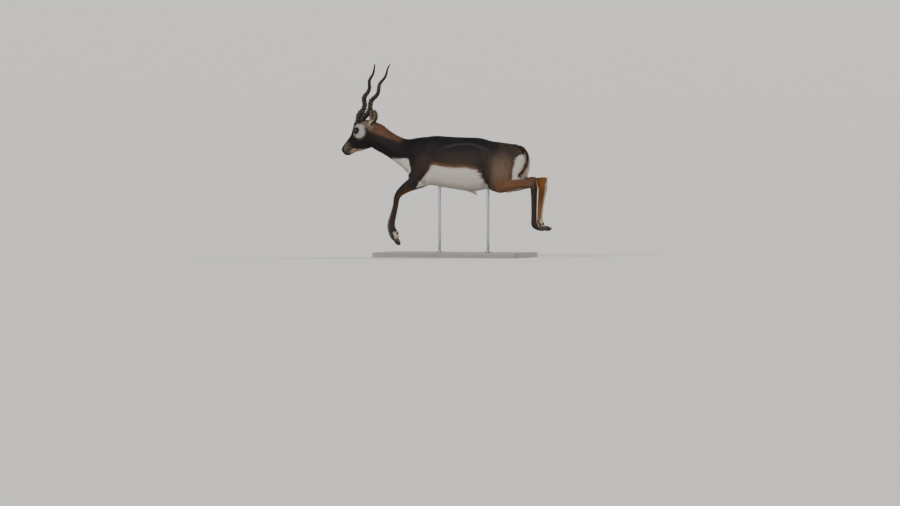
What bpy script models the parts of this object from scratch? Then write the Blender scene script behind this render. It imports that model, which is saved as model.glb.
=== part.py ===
"""Leaping adult male blackbuck, a still life-size museum model held by a plain display stand.

Units are metres with +Z up. The animal faces -X and its left side is -Y. The origin lies on the
underside of the stand's base, below the middle of the body. The flesh is lofted from named
stations, blended into one form, and then parted into nodes by thin flat cuts.
"""

import math

import bmesh
import bpy
from mathutils import Matrix, Vector

GAP = 0.0003  # clearance between pieces that touch
SIDE = Vector((0, 1, 0))  # the animal's right

BASE_LENGTH = 0.95
BASE_WIDTH = 0.44
BASE_THICKNESS = 0.03
BASE_CORNER = 0.03
ROD_RADIUS = 0.009
ROD_SOCKET = 0.03  # how far each rod enters the belly
ROD_FRONT_X = -0.10
ROD_REAR_X = 0.215
COLLAR_RADIUS = 0.02
COLLAR_HEIGHT = 0.008

BODY_VOXEL = 0.004
HEAD_VOXEL = 0.0026
BODY_TRIANGLES = 6300
HEAD_TRIANGLES = 3400

HEAD_ORIGIN = Vector((-0.56, 0, 0.78))  # between the ears, inside the skull
HEAD_PITCH = math.radians(36.3)  # muzzle below the horizontal
EYE_RADIUS = 0.0185
EYE_CENTRE = (0.054, 0.043, 0.0360)  # along the head, above its axis, out from the middle
EYE_OPENING = (0.0155, 0.0125)  # half length and half height between the lids
LID_THICKNESS = 0.0025

HORN_ROOT = (-0.622, 0.029, 0.830)  # x, distance from the middle, z
HORN_TIP = (-0.471, 0.148, 1.199)
HORN_BASE_RADIUS = 0.0200
HORN_TIP_RADIUS = 0.0028
HORN_TAPER = 0.75  # how soon the horn thins towards its tip
HORN_SWING = 0.0105  # radius of the corkscrew near the root
HORN_TURNS = 3.42
HORN_CURL = math.radians(110)  # further turn of the lowest part
HORN_CURL_FADE = 10
HORN_BOW = {"left": 0.001, "right": -0.003}  # how far forward the line of a horn bows
HORN_RINGS = 16
HORN_RINGED_PART = 0.77
HORN_SIDES = 12
HORN_GROOVE = 0.90  # of the radius, between the rings
HORN_CREST = 1.10  # of the radius, on a ring
HORN_SUNK = 0.03  # part of the horn's length below its root
PEDICLE_DEPTH = 0.008
PEDICLE_RADIUS = 0.0255
HORN_PHASE = {"left": math.radians(27), "right": math.radians(68)}

EAR_LENGTH = 0.102
EAR_LEAN = {-1: (0.22, -0.26, 0.86), 1: (-0.10, 0.52, 0.78)}  # by side: the left one lies back, the right one out
EAR_HALF_WIDTH = 0.024

CLAW_LENGTH = 0.047
CLAW_WIDTH = 0.0165
CLAW_CLEFT = 0.0022  # space between the two claws of a foot
FORE_TOE_DROP = {"left": math.radians(6), "right": math.radians(12)}  # how far the hooves hang back
HIND_TOE_DROP = math.radians(4)

# The trunk, from breast to rump: x, back line, belly line, half width, level of the widest part
TRUNK = (
    (-0.345, 0.690, 0.562, 0.052, 0.620),
    (-0.300, 0.716, 0.512, 0.074, 0.600),
    (-0.225, 0.738, 0.456, 0.093, 0.585),
    (-0.131, 0.755, 0.443, 0.106, 0.580),
    (-0.030, 0.749, 0.426, 0.116, 0.575),
    (0.075, 0.745, 0.411, 0.119, 0.570),
    (0.160, 0.743, 0.413, 0.110, 0.575),
    (0.232, 0.724, 0.436, 0.100, 0.590),
    (0.312, 0.713, 0.480, 0.096, 0.610),
    (0.380, 0.703, 0.530, 0.086, 0.620),
    (0.420, 0.688, 0.548, 0.068, 0.625),
    (0.440, 0.666, 0.572, 0.042, 0.625),
)

# The neck, from the poll down into the shoulders: x, y, z, half width, upper and lower depth
NECK = (
    (-0.560, 0, 0.775, 0.042, 0.066, 0.070),
    (-0.520, 0, 0.757, 0.046, 0.080, 0.080),
    (-0.488, 0, 0.734, 0.047, 0.078, 0.079),
    (-0.445, 0, 0.708, 0.050, 0.075, 0.076),
    (-0.390, 0, 0.678, 0.056, 0.076, 0.077),
    (-0.335, 0, 0.650, 0.069, 0.085, 0.089),
    (-0.265, 0, 0.628, 0.087, 0.112, 0.118),
    (-0.190, 0, 0.615, 0.094, 0.125, 0.135),
)

# The head along its own axis: distance from HEAD_ORIGIN, upper edge, lower edge, half width, widest level
HEAD = (
    (0.2165, 0.011, -0.021, 0.013, -0.004),
    (0.2090, 0.020, -0.034, 0.0215, -0.006),
    (0.1950, 0.0275, -0.0435, 0.0265, -0.006),
    (0.1720, 0.034, -0.0490, 0.0280, -0.006),
    (0.1450, 0.0405, -0.0540, 0.0285, -0.004),
    (0.1200, 0.048, -0.0660, 0.0315, -0.002),
    (0.1000, 0.0555, -0.0740, 0.0365, 0.002),
    (0.0800, 0.068, -0.0810, 0.0425, 0.008),
    (0.0600, 0.084, -0.0870, 0.0475, 0.014),
    (0.0380, 0.092, -0.0910, 0.0495, 0.016),
    (0.0100, 0.087, -0.0890, 0.0490, 0.014),
    (-0.0200, 0.074, -0.0820, 0.0470, 0.006),
    (-0.0480, 0.052, -0.0660, 0.0400, 0.000),
)

# Limbs of the left side: x, y, z, half width, depth to the front of the limb, depth to its back
SHOULDER = (
    (-0.125, -0.045, 0.715, 0.024, 0.048, 0.050),
    (-0.158, -0.060, 0.655, 0.034, 0.078, 0.075),
    (-0.198, -0.067, 0.590, 0.037, 0.085, 0.080),
    (-0.222, -0.071, 0.530, 0.037, 0.070, 0.070),
    (-0.226, -0.073, 0.480, 0.035, 0.052, 0.050),
)
FOREARM_LEFT = (
    (-0.200, -0.076, 0.490, 0.036, 0.054, 0.050),
    (-0.248, -0.073, 0.460, 0.031, 0.043, 0.041),
    (-0.293, -0.069, 0.432, 0.026, 0.035, 0.032),
    (-0.329, -0.065, 0.407, 0.0215, 0.0265, 0.0245),
    (-0.351, -0.063, 0.386, 0.0200, 0.0205, 0.0215),
    (-0.3615, -0.061, 0.360, 0.0175, 0.0185, 0.0175),
    (-0.367, -0.060, 0.330, 0.0140, 0.0145, 0.0185),
    (-0.376, -0.060, 0.285, 0.0130, 0.0140, 0.0190),
    (-0.386, -0.060, 0.238, 0.0135, 0.0145, 0.0190),
    (-0.392, -0.060, 0.205, 0.0140, 0.0160, 0.0200),
    (-0.389, -0.060, 0.175, 0.0155, 0.0165, 0.0225),
    (-0.381, -0.060, 0.150, 0.0165, 0.0160, 0.0275),
    (-0.372, -0.060, 0.124, 0.0165, 0.0165, 0.0250),
    (-0.364, -0.060, 0.098, 0.0168, 0.0155, 0.0185),
)
FOREARM_RIGHT = (
    (-0.215, 0.076, 0.486, 0.036, 0.054, 0.050),
    (-0.272, 0.073, 0.460, 0.031, 0.043, 0.041),
    (-0.325, 0.069, 0.433, 0.026, 0.034, 0.031),
    (-0.366, 0.065, 0.408, 0.0215, 0.0260, 0.0240),
    (-0.390, 0.063, 0.386, 0.0200, 0.0205, 0.0215),
    (-0.402, 0.061, 0.360, 0.0175, 0.0185, 0.0175),
    (-0.409, 0.060, 0.330, 0.0140, 0.0145, 0.0185),
    (-0.421, 0.060, 0.285, 0.0130, 0.0140, 0.0190),
    (-0.436, 0.060, 0.240, 0.0135, 0.0145, 0.0190),
    (-0.444, 0.060, 0.210, 0.0140, 0.0160, 0.0200),
    (-0.445, 0.060, 0.182, 0.0155, 0.0165, 0.0225),
    (-0.440, 0.060, 0.158, 0.0165, 0.0160, 0.0270),
    (-0.432, 0.060, 0.136, 0.0165, 0.0165, 0.0250),
    (-0.423, 0.060, 0.115, 0.0168, 0.0155, 0.0185),
)
THIGH = (
    (0.315, -0.038, 0.690, 0.026, 0.068, 0.075),
    (0.326, -0.052, 0.635, 0.041, 0.105, 0.112),
    (0.330, -0.060, 0.572, 0.048, 0.122, 0.125),
    (0.318, -0.066, 0.515, 0.048, 0.118, 0.118),
    (0.300, -0.071, 0.465, 0.044, 0.092, 0.100),
    (0.286, -0.074, 0.430, 0.036, 0.055, 0.070),
    (0.280, -0.074, 0.412, 0.024, 0.030, 0.040),
)
SHANK_LEFT = (
    (0.300, -0.077, 0.452, 0.036, 0.042, 0.055),
    (0.360, -0.077, 0.454, 0.033, 0.045, 0.050),
    (0.420, -0.076, 0.459, 0.0265, 0.0350, 0.0370),
    (0.470, -0.075, 0.463, 0.0215, 0.0310, 0.0320),
    (0.508, -0.073, 0.462, 0.0195, 0.0300, 0.0310),
    (0.5335, -0.072, 0.446, 0.0195, 0.0265, 0.0260),
    (0.5360, -0.071, 0.412, 0.0172, 0.0215, 0.0230),
    (0.5350, -0.070, 0.370, 0.0142, 0.0180, 0.0215),
    (0.5350, -0.070, 0.300, 0.0132, 0.0170, 0.0200),
    (0.5350, -0.070, 0.240, 0.0135, 0.0172, 0.0190),
    (0.5360, -0.070, 0.213, 0.0162, 0.0205, 0.0200),
    (0.5430, -0.070, 0.198, 0.0155, 0.0185, 0.0175),
    (0.5580, -0.070, 0.188, 0.0150, 0.0160, 0.0155),
    (0.5780, -0.070, 0.180, 0.0162, 0.0160, 0.0160),
)
SHANK_RIGHT = (
    (0.305, 0.077, 0.452, 0.036, 0.042, 0.055),
    (0.370, 0.077, 0.454, 0.033, 0.045, 0.050),
    (0.436, 0.076, 0.459, 0.0265, 0.0350, 0.0360),
    (0.490, 0.075, 0.462, 0.0215, 0.0310, 0.0300),
    (0.530, 0.073, 0.460, 0.0195, 0.0290, 0.0290),
    (0.5500, 0.072, 0.442, 0.0195, 0.0320, 0.0270),
    (0.5460, 0.071, 0.408, 0.0172, 0.0275, 0.0250),
    (0.5395, 0.070, 0.368, 0.0145, 0.0225, 0.0225),
    (0.5320, 0.070, 0.300, 0.0134, 0.0180, 0.0180),
    (0.5290, 0.070, 0.240, 0.0135, 0.0168, 0.0170),
    (0.5310, 0.070, 0.214, 0.0162, 0.0185, 0.0200),
    (0.5370, 0.070, 0.199, 0.0155, 0.0170, 0.0185),
    (0.5500, 0.070, 0.188, 0.0150, 0.0155, 0.0165),
    (0.5680, 0.070, 0.179, 0.0162, 0.0160, 0.0165),
)
HEEL_LEFT = (
    (0.455, -0.075, 0.480, 0.012, 0.014, 0.012),
    (0.505, -0.074, 0.490, 0.011, 0.018, 0.011),
    (0.538, -0.073, 0.491, 0.0125, 0.040, 0.0125),
    (0.547, -0.073, 0.491, 0.0100, 0.038, 0.0105),
    (0.5540, -0.073, 0.491, 0.0055, 0.030, 0.0055),
)
HEEL_RIGHT = (
    (0.475, 0.075, 0.479, 0.012, 0.014, 0.012),
    (0.530, 0.074, 0.487, 0.011, 0.018, 0.011),
    (0.563, 0.073, 0.487, 0.0125, 0.044, 0.0125),
    (0.572, 0.073, 0.487, 0.0100, 0.041, 0.0105),
    (0.5785, 0.073, 0.487, 0.0055, 0.033, 0.0055),
)
BUTTOCK = (
    (0.385, -0.042, 0.655, 0.024, 0.026, 0.034),
    (0.410, -0.052, 0.615, 0.036, 0.040, 0.055),
    (0.414, -0.054, 0.565, 0.036, 0.045, 0.054),
    (0.402, -0.058, 0.520, 0.034, 0.045, 0.053),
    (0.385, -0.062, 0.480, 0.028, 0.035, 0.040),
)
SHEATH = (
    (0.070, 0, 0.425, 0.016, 0.014, 0.014),
    (0.105, 0, 0.412, 0.014, 0.012, 0.014),
    (0.128, 0, 0.397, 0.010, 0.009, 0.009),
    (0.142, 0, 0.383, 0.006, 0.005, 0.005),
)
TAIL = (
    (0.408, 0, 0.685, 0.0130, 0.0125, 0.0115),
    (0.428, 0, 0.681, 0.0150, 0.0145, 0.0115),
    (0.4500, 0, 0.665, 0.0140, 0.0125, 0.0110),
    (0.4660, -0.001, 0.632, 0.0135, 0.0100, 0.0105),
    (0.4700, -0.012, 0.598, 0.0125, 0.0085, 0.0090),
    (0.4710, -0.036, 0.565, 0.0110, 0.0075, 0.0080),
    (0.4660, -0.064, 0.537, 0.0090, 0.0060, 0.0065),
    (0.4520, -0.085, 0.510, 0.0040, 0.0030, 0.0030),
)

# Where the flesh is parted: a point of each cut and the direction that the cut faces
HEAD_CUT = ((-0.5285, 0, 0.765), (-0.97, 0, 0.24))
NECK_CUT = ((-0.330, 0, 0.650), (-0.83, 0, 0.55))
ELBOW_CUT = ((-0.252, 0, 0.462), (-0.80, 0, -0.60))
BREAST_CUT = ((-0.300, 0, 0.530), (0, 0, -1.0))
CARPUS_CUT = ((-0.3665, 0, 0.336), (-0.15, 0, -1.0))
THIGH_CUT = ((0.205, 0.105, 0.476), (0.0114, 0.0142, -0.0194))
SHANK_CUT = ((0.400, 0, 0.475), (0.80, 0, -0.60))
HOCK_CUT = ((0.535, 0, 0.408), (0, 0, -1.0))
FORELEG_INNER = 0.012  # the legs' cuts stay this far from the middle
THIGH_INNER = 0.006

MATERIALS = {
    "black_coat": ((0.020, 0.017, 0.016), 0.8, 0.0),
    "horn": ((0.045, 0.036, 0.028), 0.55, 0.0),
    "hoof": ((0.018, 0.016, 0.015), 0.45, 0.0),
    "eye": ((0.006, 0.004, 0.003), 0.08, 0.0),
    "pale_ear": ((0.36, 0.31, 0.26), 0.8, 0.0),
    "stand_base": ((0.26, 0.25, 0.24), 0.5, 0.0),
    "stand_rod": ((0.55, 0.55, 0.56), 0.3, 1.0),
}


def material(name):
    """A Principled material from MATERIALS, made once."""
    made = bpy.data.materials.get(name)
    if made:
        return made
    colour, roughness, metallic = MATERIALS[name]
    made = bpy.data.materials.new(name)
    made.use_nodes = True
    shader = made.node_tree.nodes["Principled BSDF"]
    shader.inputs["Base Color"].default_value = (*colour, 1)
    shader.inputs["Roughness"].default_value = roughness
    shader.inputs["Metallic"].default_value = metallic
    return made


def add_object(name, mesh, material_name=None):
    """Link a mesh to the scene as an object with its own material."""
    made = bpy.data.objects.new(name, mesh)
    bpy.context.collection.objects.link(made)
    if material_name:
        mesh.materials.clear()
        mesh.materials.append(material(material_name))
    return made


def remove_object(unwanted):
    """Delete an object together with its mesh."""
    mesh = unwanted.data
    bpy.data.objects.remove(unwanted)
    bpy.data.meshes.remove(mesh)


def apply_modifiers(target):
    """Replace the object's mesh by its evaluated one."""
    evaluated = target.evaluated_get(bpy.context.evaluated_depsgraph_get())
    mesh = bpy.data.meshes.new_from_object(evaluated)
    old = target.data
    target.modifiers.clear()
    target.data = mesh
    bpy.data.meshes.remove(old)


def keep_largest(target):
    """Drop every closed surface of the object but the largest."""
    shape = bmesh.new()
    shape.from_mesh(target.data)
    left = set(shape.verts)
    islands = []
    while left:
        island = set()
        front = [left.pop()]
        while front:
            vertex = front.pop()
            island.add(vertex)
            for edge in vertex.link_edges:
                other = edge.other_vert(vertex)
                if other in left:
                    left.remove(other)
                    front.append(other)
        islands.append(island)
    islands.sort(key=len, reverse=True)
    spare = [vertex for island in islands[1:] for vertex in island]
    bmesh.ops.delete(shape, geom=spare, context="VERTS")
    bmesh.ops.triangulate(shape, faces=shape.faces)
    shape.to_mesh(target.data)
    shape.free()


def boolean(target, operation, cutters, solver="EXACT"):
    """Join, cut or intersect the target with a collection of closed meshes, then remove those."""
    group = bpy.data.collections.new("pieces")
    for cutter in cutters:
        group.objects.link(cutter)
    step = target.modifiers.new("boolean", "BOOLEAN")
    step.operation = operation
    step.operand_type = "COLLECTION"
    step.collection = group
    step.solver = solver
    apply_modifiers(target)
    for cutter in cutters:
        remove_object(cutter)
    bpy.data.collections.remove(group)
    keep_largest(target)


def curve_through(stations, steps):
    """Catmull-Rom curve through the stations, with every value of a station treated alike."""
    points = []
    last = len(stations) - 1
    for index in range(last):
        before = stations[max(index - 1, 0)]
        start = stations[index]
        end = stations[index + 1]
        after = stations[min(index + 2, last)]
        for step in range(steps):
            t = step / steps
            values = []
            for a, b, c, d in zip(before, start, end, after):
                slope_in = (c - a) / 2
                slope_out = (d - b) / 2
                bend = 3 * (c - b) - 2 * slope_in - slope_out
                twist = 2 * (b - c) + slope_in + slope_out
                values.append(b + slope_in * t + bend * t * t + twist * t ** 3)
            points.append(values)
    points.append(list(stations[last]))
    return points


def section(centre, forward, half_width, rise, drop, fullness=(2.1, 2.1), sides=20):
    """Egg-shaped ring square to forward: rise reaches to the back or front of a limb, drop behind it."""
    up = SIDE.cross(forward).normalized()
    across = forward.cross(up).normalized()
    ring = []
    for index in range(sides):
        angle = math.tau * (index + 0.5) / sides
        reach = rise if math.sin(angle) > 0 else drop
        power = 2 / (fullness[0] if math.sin(angle) > 0 else fullness[1])
        width = math.copysign(abs(math.cos(angle)) ** power, math.cos(angle)) * half_width
        height = math.copysign(abs(math.sin(angle)) ** power, math.sin(angle)) * reach
        ring.append(centre + across * width + up * height)
    return ring


def skin_rings(name, rings, closed=False):
    """A closed mesh over rings of points, with a flat cap at each end or joined into a loop."""
    shape = bmesh.new()
    layers = []
    for ring in rings:
        layers.append([shape.verts.new(point) for point in ring])
    count = len(rings[0])
    pairs = list(zip(layers, layers[1:]))
    if closed:
        pairs.append((layers[-1], layers[0]))
    for lower, upper in pairs:
        for index in range(count):
            beside = (index + 1) % count
            shape.faces.new((lower[index], lower[beside], upper[beside], upper[index]))
    if not closed:
        shape.faces.new(list(reversed(layers[0])))
        shape.faces.new(layers[-1])
    bmesh.ops.recalc_face_normals(shape, faces=shape.faces)
    mesh = bpy.data.meshes.new(name)
    shape.to_mesh(mesh)
    shape.free()
    return mesh


def limb(name, stations, steps=3, mirrored=False, grow=0.0, sides=20, fullness=(2.1, 2.1)):
    """Loft along stations of x, y, z, half width, rise and drop."""
    points = curve_through(stations, steps)
    if mirrored:
        points = [[x, -y, z, *sizes] for x, y, z, *sizes in points]
    places = [Vector(point[:3]) for point in points]
    rings = []
    for index, (place, point) in enumerate(zip(places, points)):
        ahead = places[min(index + 1, len(places) - 1)]
        behind = places[max(index - 1, 0)]
        half_width, rise, drop = (size + grow for size in point[3:])
        rings.append(section(place, ahead - behind, half_width, rise, drop, fullness, sides))
    return add_object(name, skin_rings(name, rings))


def trunk():
    """The barrel of the body, from breast to rump."""
    rings = []
    for x, back, belly, half_width, widest in curve_through(TRUNK, 3):
        centre = Vector((x, 0, widest))
        forward = Vector((-1, 0, 0))
        rings.append(section(centre, forward, half_width, back - widest, widest - belly, (1.9, 2.3), 28))
    return add_object("trunk", skin_rings("trunk", rings))


HEAD_FORWARD = Vector((-math.cos(HEAD_PITCH), 0, -math.sin(HEAD_PITCH)))
HEAD_UP = Vector((-math.sin(HEAD_PITCH), 0, math.cos(HEAD_PITCH)))


def on_head(along, above, out=0.0):
    """World position from the head's own axes; out is towards the animal's right."""
    return HEAD_ORIGIN + HEAD_FORWARD * along + HEAD_UP * above + SIDE * out


def skull():
    """The head without its details."""
    rings = []
    for along, top, bottom, half_width, widest in curve_through(HEAD, 3):
        centre = on_head(along, widest)
        rings.append(section(centre, HEAD_FORWARD, half_width, top - widest, widest - bottom, (2.2, 1.75), 28))
    return add_object("skull", skin_rings("skull", rings))


def ball(name, centre, radius, stretch=(1, 1, 1), turn=None, segments=20):
    """A sphere, stretched along its own axes and turned."""
    shape = bmesh.new()
    bmesh.ops.create_uvsphere(shape, u_segments=segments, v_segments=segments * 3 // 5, radius=radius)
    placing = Matrix.Translation(centre)
    if turn:
        placing = placing @ turn.to_4x4()
    bmesh.ops.transform(shape, matrix=placing @ Matrix.Diagonal((*stretch, 1)), verts=shape.verts)
    mesh = bpy.data.meshes.new(name)
    shape.to_mesh(mesh)
    shape.free()
    return add_object(name, mesh)


def gaze(side):
    """Where an eye looks: outwards, a little forward and up; side is -1 for the left."""
    direction = HEAD_FORWARD * 0.30 + HEAD_UP * 0.12 + SIDE * side
    return direction.normalized()


def eye_place(side):
    """Centre of an eyeball."""
    along, above, out = EYE_CENTRE
    return on_head(along, above, out * side)


def eye_axes(side):
    """The opening's long axis, its height axis and the gaze, as unit vectors."""
    outward = gaze(side)
    slant = HEAD_FORWARD * 0.96 - HEAD_UP * 0.28
    long_axis = (slant - outward * slant.dot(outward)).normalized()
    high_axis = outward.cross(long_axis).normalized()
    if high_axis.dot(HEAD_UP) < 0:
        high_axis.negate()
    return long_axis, high_axis, outward


def eyeball(name, side, grow=0.0):
    """A ball with its pole towards the gaze; grown, it is the cutter of the socket."""
    turn = Vector((0, 0, 1)).rotation_difference(gaze(side)).to_matrix()
    return ball(name, eye_place(side), EYE_RADIUS + grow, (1, 1, 1), turn, 18)


def lid_loop(side, reach, widen=1.0, points=24):
    """Almond-shaped loop around the gaze on a sphere of radius reach about the eye."""
    long_axis, high_axis, outward = eye_axes(side)
    centre = eye_place(side)
    half_long, half_high = EYE_OPENING
    loop = []
    for index in range(points):
        angle = math.tau * index / points
        pinch = 1 - 0.28 * abs(math.cos(angle)) ** 3
        across = long_axis * math.cos(angle) * half_long * widen
        over = high_axis * math.sin(angle) * half_high * widen * pinch
        direction = across + over + outward * math.sqrt(max(EYE_RADIUS ** 2 - half_long ** 2, 1e-6))
        loop.append(centre + direction.normalized() * reach)
    return loop


def lids(side):
    """A rounded rim around the eye's opening, thicker above."""
    centre = eye_place(side)
    high_axis = eye_axes(side)[1]
    path = lid_loop(side, EYE_RADIUS + 0.0009, 1.07)
    rings = []
    for index, place in enumerate(path):
        along = (path[(index + 1) % len(path)] - path[index - 1]).normalized()
        outward = (place - centre).normalized()
        across = along.cross(outward).normalized()
        lifted = max((place - centre).dot(high_axis), 0) / EYE_RADIUS
        thick = LID_THICKNESS * (0.85 + 0.45 * lifted)
        ring = []
        for step in range(8):
            angle = math.tau * step / 8
            ring.append(place + across * math.cos(angle) * thick + outward * math.sin(angle) * thick * 0.8)
        rings.append(ring)
    return add_object("lids", skin_rings("lids", rings, closed=True))


def lid_opening(side):
    """The cutter that frees the eye between its lids."""
    inner = lid_loop(side, EYE_RADIUS * 0.6, 1.0)
    outer = lid_loop(side, EYE_RADIUS + 0.015, 1.0)
    return add_object("opening", skin_rings("opening", [inner, outer]))


def nostril(side):
    """The cutter of a comma-shaped nostril."""
    stations = (
        (0.2150, 0.0060, 0.0085, 0.0028),
        (0.2060, 0.0085, 0.0125, 0.0036),
        (0.1960, 0.0110, 0.0200, 0.0032),
        (0.1870, 0.0165, 0.0275, 0.0018),
    )
    rings = []
    places = [on_head(a, b, out * side) for a, b, out, _ in stations]
    for index, place in enumerate(places):
        along = (places[min(index + 1, 3)] - places[max(index - 1, 0)]).normalized()
        first = along.cross(HEAD_UP).normalized()
        second = along.cross(first).normalized()
        size = stations[index][3]
        ring = []
        for step in range(8):
            angle = math.tau * step / 8
            ring.append(place + first * math.cos(angle) * size * 1.3 + second * math.sin(angle) * size)
        rings.append(ring)
    return add_object("nostril", skin_rings("nostril", rings))


def mouth_line():
    """The cutter of the closed mouth: a thin bent plate that runs round the front of the lips."""
    upper = []
    lower = []
    thick = 0.0010
    depth = 0.0045
    stations = ((0.138, -0.0215), (0.160, -0.0190), (0.185, -0.0180), (0.203, -0.0200), (0.216, -0.0215))
    half_widths = (0.0300, 0.0295, 0.0280, 0.0245, 0.0150)
    for side in (-1, 1):
        order = range(5) if side < 0 else range(4, -1, -1)
        for index in order:
            along, above = stations[index]
            out = half_widths[index]
            reach = 0.004
            upper.append((along + (reach if index == 4 else 0), above + thick, (out + reach) * side))
            lower.append((along - (depth if index == 4 else 0), above + thick, (out - depth) * side))
    shape = bmesh.new()
    outer_top = [shape.verts.new(on_head(*point)) for point in upper]
    inner_top = [shape.verts.new(on_head(*point)) for point in lower]
    outer_low = [shape.verts.new(on_head(a, b - 2 * thick, c)) for a, b, c in upper]
    inner_low = [shape.verts.new(on_head(a, b - 2 * thick, c)) for a, b, c in lower]
    for index in range(len(upper) - 1):
        beside = index + 1
        shape.faces.new((outer_top[index], outer_top[beside], inner_top[beside], inner_top[index]))
        shape.faces.new((outer_low[index], inner_low[index], inner_low[beside], outer_low[beside]))
        shape.faces.new((outer_top[index], outer_low[index], outer_low[beside], outer_top[beside]))
        shape.faces.new((inner_top[index], inner_top[beside], inner_low[beside], inner_low[index]))
    for index in (0, len(upper) - 1):
        shape.faces.new((outer_top[index], inner_top[index], inner_low[index], outer_low[index]))
    bmesh.ops.recalc_face_normals(shape, faces=shape.faces)
    bmesh.ops.triangulate(shape, faces=shape.faces)
    mesh = bpy.data.meshes.new("mouth")
    shape.to_mesh(mesh)
    shape.free()
    return add_object("mouth", mesh)


def flesh_masses():
    """Every mass of the body and legs as overlapping closed lofts."""
    masses = [trunk(), limb("neck_mass", NECK, fullness=(2.0, 2.2), sides=24), skull()]
    for mirrored in (False, True):
        masses.append(limb("shoulder_mass", SHOULDER, mirrored=mirrored))
        masses.append(limb("thigh_mass", THIGH, mirrored=mirrored))
        masses.append(limb("buttock", BUTTOCK, mirrored=mirrored))
    for name, stations in (
        ("forearm_left", FOREARM_LEFT),
        ("forearm_right", FOREARM_RIGHT),
        ("shank_left", SHANK_LEFT),
        ("shank_right", SHANK_RIGHT),
        ("heel_left", HEEL_LEFT),
        ("heel_right", HEEL_RIGHT),
        ("sheath", SHEATH),
    ):
        masses.append(limb(name, stations, steps=4, sides=16))
    for side in (-1, 1):
        masses.append(brow(side))
        masses.append(pedicle(side))
        masses.extend(dewclaws(side))
    return masses


def brow(side):
    """The orbit that carries the eye."""
    turn = Matrix(eye_axes(side)).transposed()
    centre = eye_place(side) - gaze(side) * 0.0035
    return ball("orbit", centre, EYE_RADIUS + 0.0035, (1.30, 1.15, 1.0), turn)


def pedicle(side):
    """The bony base below a horn, sunk along the horn so that only a low collar rises."""
    root = Vector((HORN_ROOT[0], HORN_ROOT[1] * side, HORN_ROOT[2]))
    tip = Vector((HORN_TIP[0], HORN_TIP[1] * side, HORN_TIP[2]))
    return ball("pedicle", root - (tip - root).normalized() * PEDICLE_DEPTH, PEDICLE_RADIUS)


def gland(side):
    """The cutter of the slit in front of an eye."""
    turn = Matrix(eye_axes(side)).transposed()
    return ball("gland", on_head(0.090, 0.022, 0.0435 * side), 0.006, (1.7, 0.45, 0.6), turn, 12)


def dewclaws(side):
    """Four small claws behind the fetlocks of one side."""
    fore = FOREARM_LEFT if side < 0 else FOREARM_RIGHT
    hind = SHANK_LEFT if side < 0 else SHANK_RIGHT
    made = []
    for stations, index, back, down in ((fore, 11, 0.0265, 0.001), (hind, 10, 0.0215, 0.002)):
        x, y, z = stations[index][:3]
        for out in (-0.009, 0.009):
            centre = Vector((x + back, y + out, z - down))
            made.append(ball("dewclaw", centre, 0.0062, (0.9, 0.9, 1.35), None, 10))
    return made


def blend(name, masses, voxel, rounds, leg_rounds):
    """Fuse overlapping masses into one smooth form, with the slim legs smoothed less."""
    shape = bmesh.new()
    for mass in masses:
        shape.from_mesh(mass.data)
    mesh = bpy.data.meshes.new(name)
    shape.to_mesh(mesh)
    shape.free()
    for mass in masses:
        remove_object(mass)
    form = add_object(name, mesh)
    remesh = form.modifiers.new("remesh", "REMESH")
    remesh.mode = "VOXEL"
    remesh.voxel_size = voxel
    apply_modifiers(form)
    keep_largest(form)
    bulky = form.vertex_groups.new(name="bulky")
    weights = {}
    for vertex in form.data.vertices:
        x, y, z = vertex.co
        level = min(max((z - 0.44) / 0.06, 0), 1)
        if x > 0.43:
            level = min(max((z - 0.50) / 0.03, 0), 1)
        weights.setdefault(round(level, 1), []).append(vertex.index)
    for weight, indices in weights.items():
        bulky.add(indices, weight, "REPLACE")
    for group, iterations in (("", leg_rounds), ("bulky", rounds)):
        smooth = form.modifiers.new("smooth", "SMOOTH")
        smooth.factor = 0.5
        smooth.iterations = iterations
        smooth.vertex_group = group
    apply_modifiers(form)
    return form


def decimate(form, triangles):
    """Thin the mesh to about the given number of triangles."""
    count = sum(len(face.vertices) - 2 for face in form.data.polygons)
    step = form.modifiers.new("decimate", "DECIMATE")
    step.ratio = min(1.0, triangles / count)
    apply_modifiers(form)


def half_space(name, planes, reach=1.6):
    """A large box cut down to what lies ahead of every plane of (point, direction)."""
    shape = bmesh.new()
    bmesh.ops.create_cube(shape, size=2 * reach)
    for point, direction in planes:
        everything = shape.verts[:] + shape.edges[:] + shape.faces[:]
        cut = bmesh.ops.bisect_plane(
            shape, geom=everything, plane_co=point, plane_no=direction, clear_inner=True, dist=1e-7
        )
        edges = [part for part in cut["geom_cut"] if isinstance(part, bmesh.types.BMEdge)]
        bmesh.ops.edgeloop_fill(shape, edges=edges)
    bmesh.ops.recalc_face_normals(shape, faces=shape.faces)
    mesh = bpy.data.meshes.new(name)
    shape.to_mesh(mesh)
    shape.free()
    return add_object(name, mesh)


def shifted(cut, side, offset):
    """The cut for one side of the body, moved along its direction by offset."""
    point, direction = cut
    facing = Vector((direction[0], direction[1] * side, direction[2])).normalized()
    place = Vector((point[0], point[1] * side, point[2])) + facing * offset
    return place, facing


def part_off(name, form, cuts, side=0, ends=(), beyond=0.0):
    """Copy the form and keep what lies ahead of the cuts, behind the ends and on its own side."""
    piece = form.copy()
    piece.data = form.data.copy()
    piece.name = name
    bpy.context.collection.objects.link(piece)
    planes = [shifted(cut, side or 1, GAP / 2) for cut in cuts]
    for cut in ends:
        place, facing = shifted(cut, side or 1, -GAP / 2)
        planes.append((place, -facing))
    if side:
        planes.append((Vector((0, side * beyond, 0)), SIDE * side))
    boolean(piece, "INTERSECT", [half_space("ahead", planes)])
    piece.data.materials.clear()
    piece.data.materials.append(material("black_coat"))
    return piece


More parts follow.
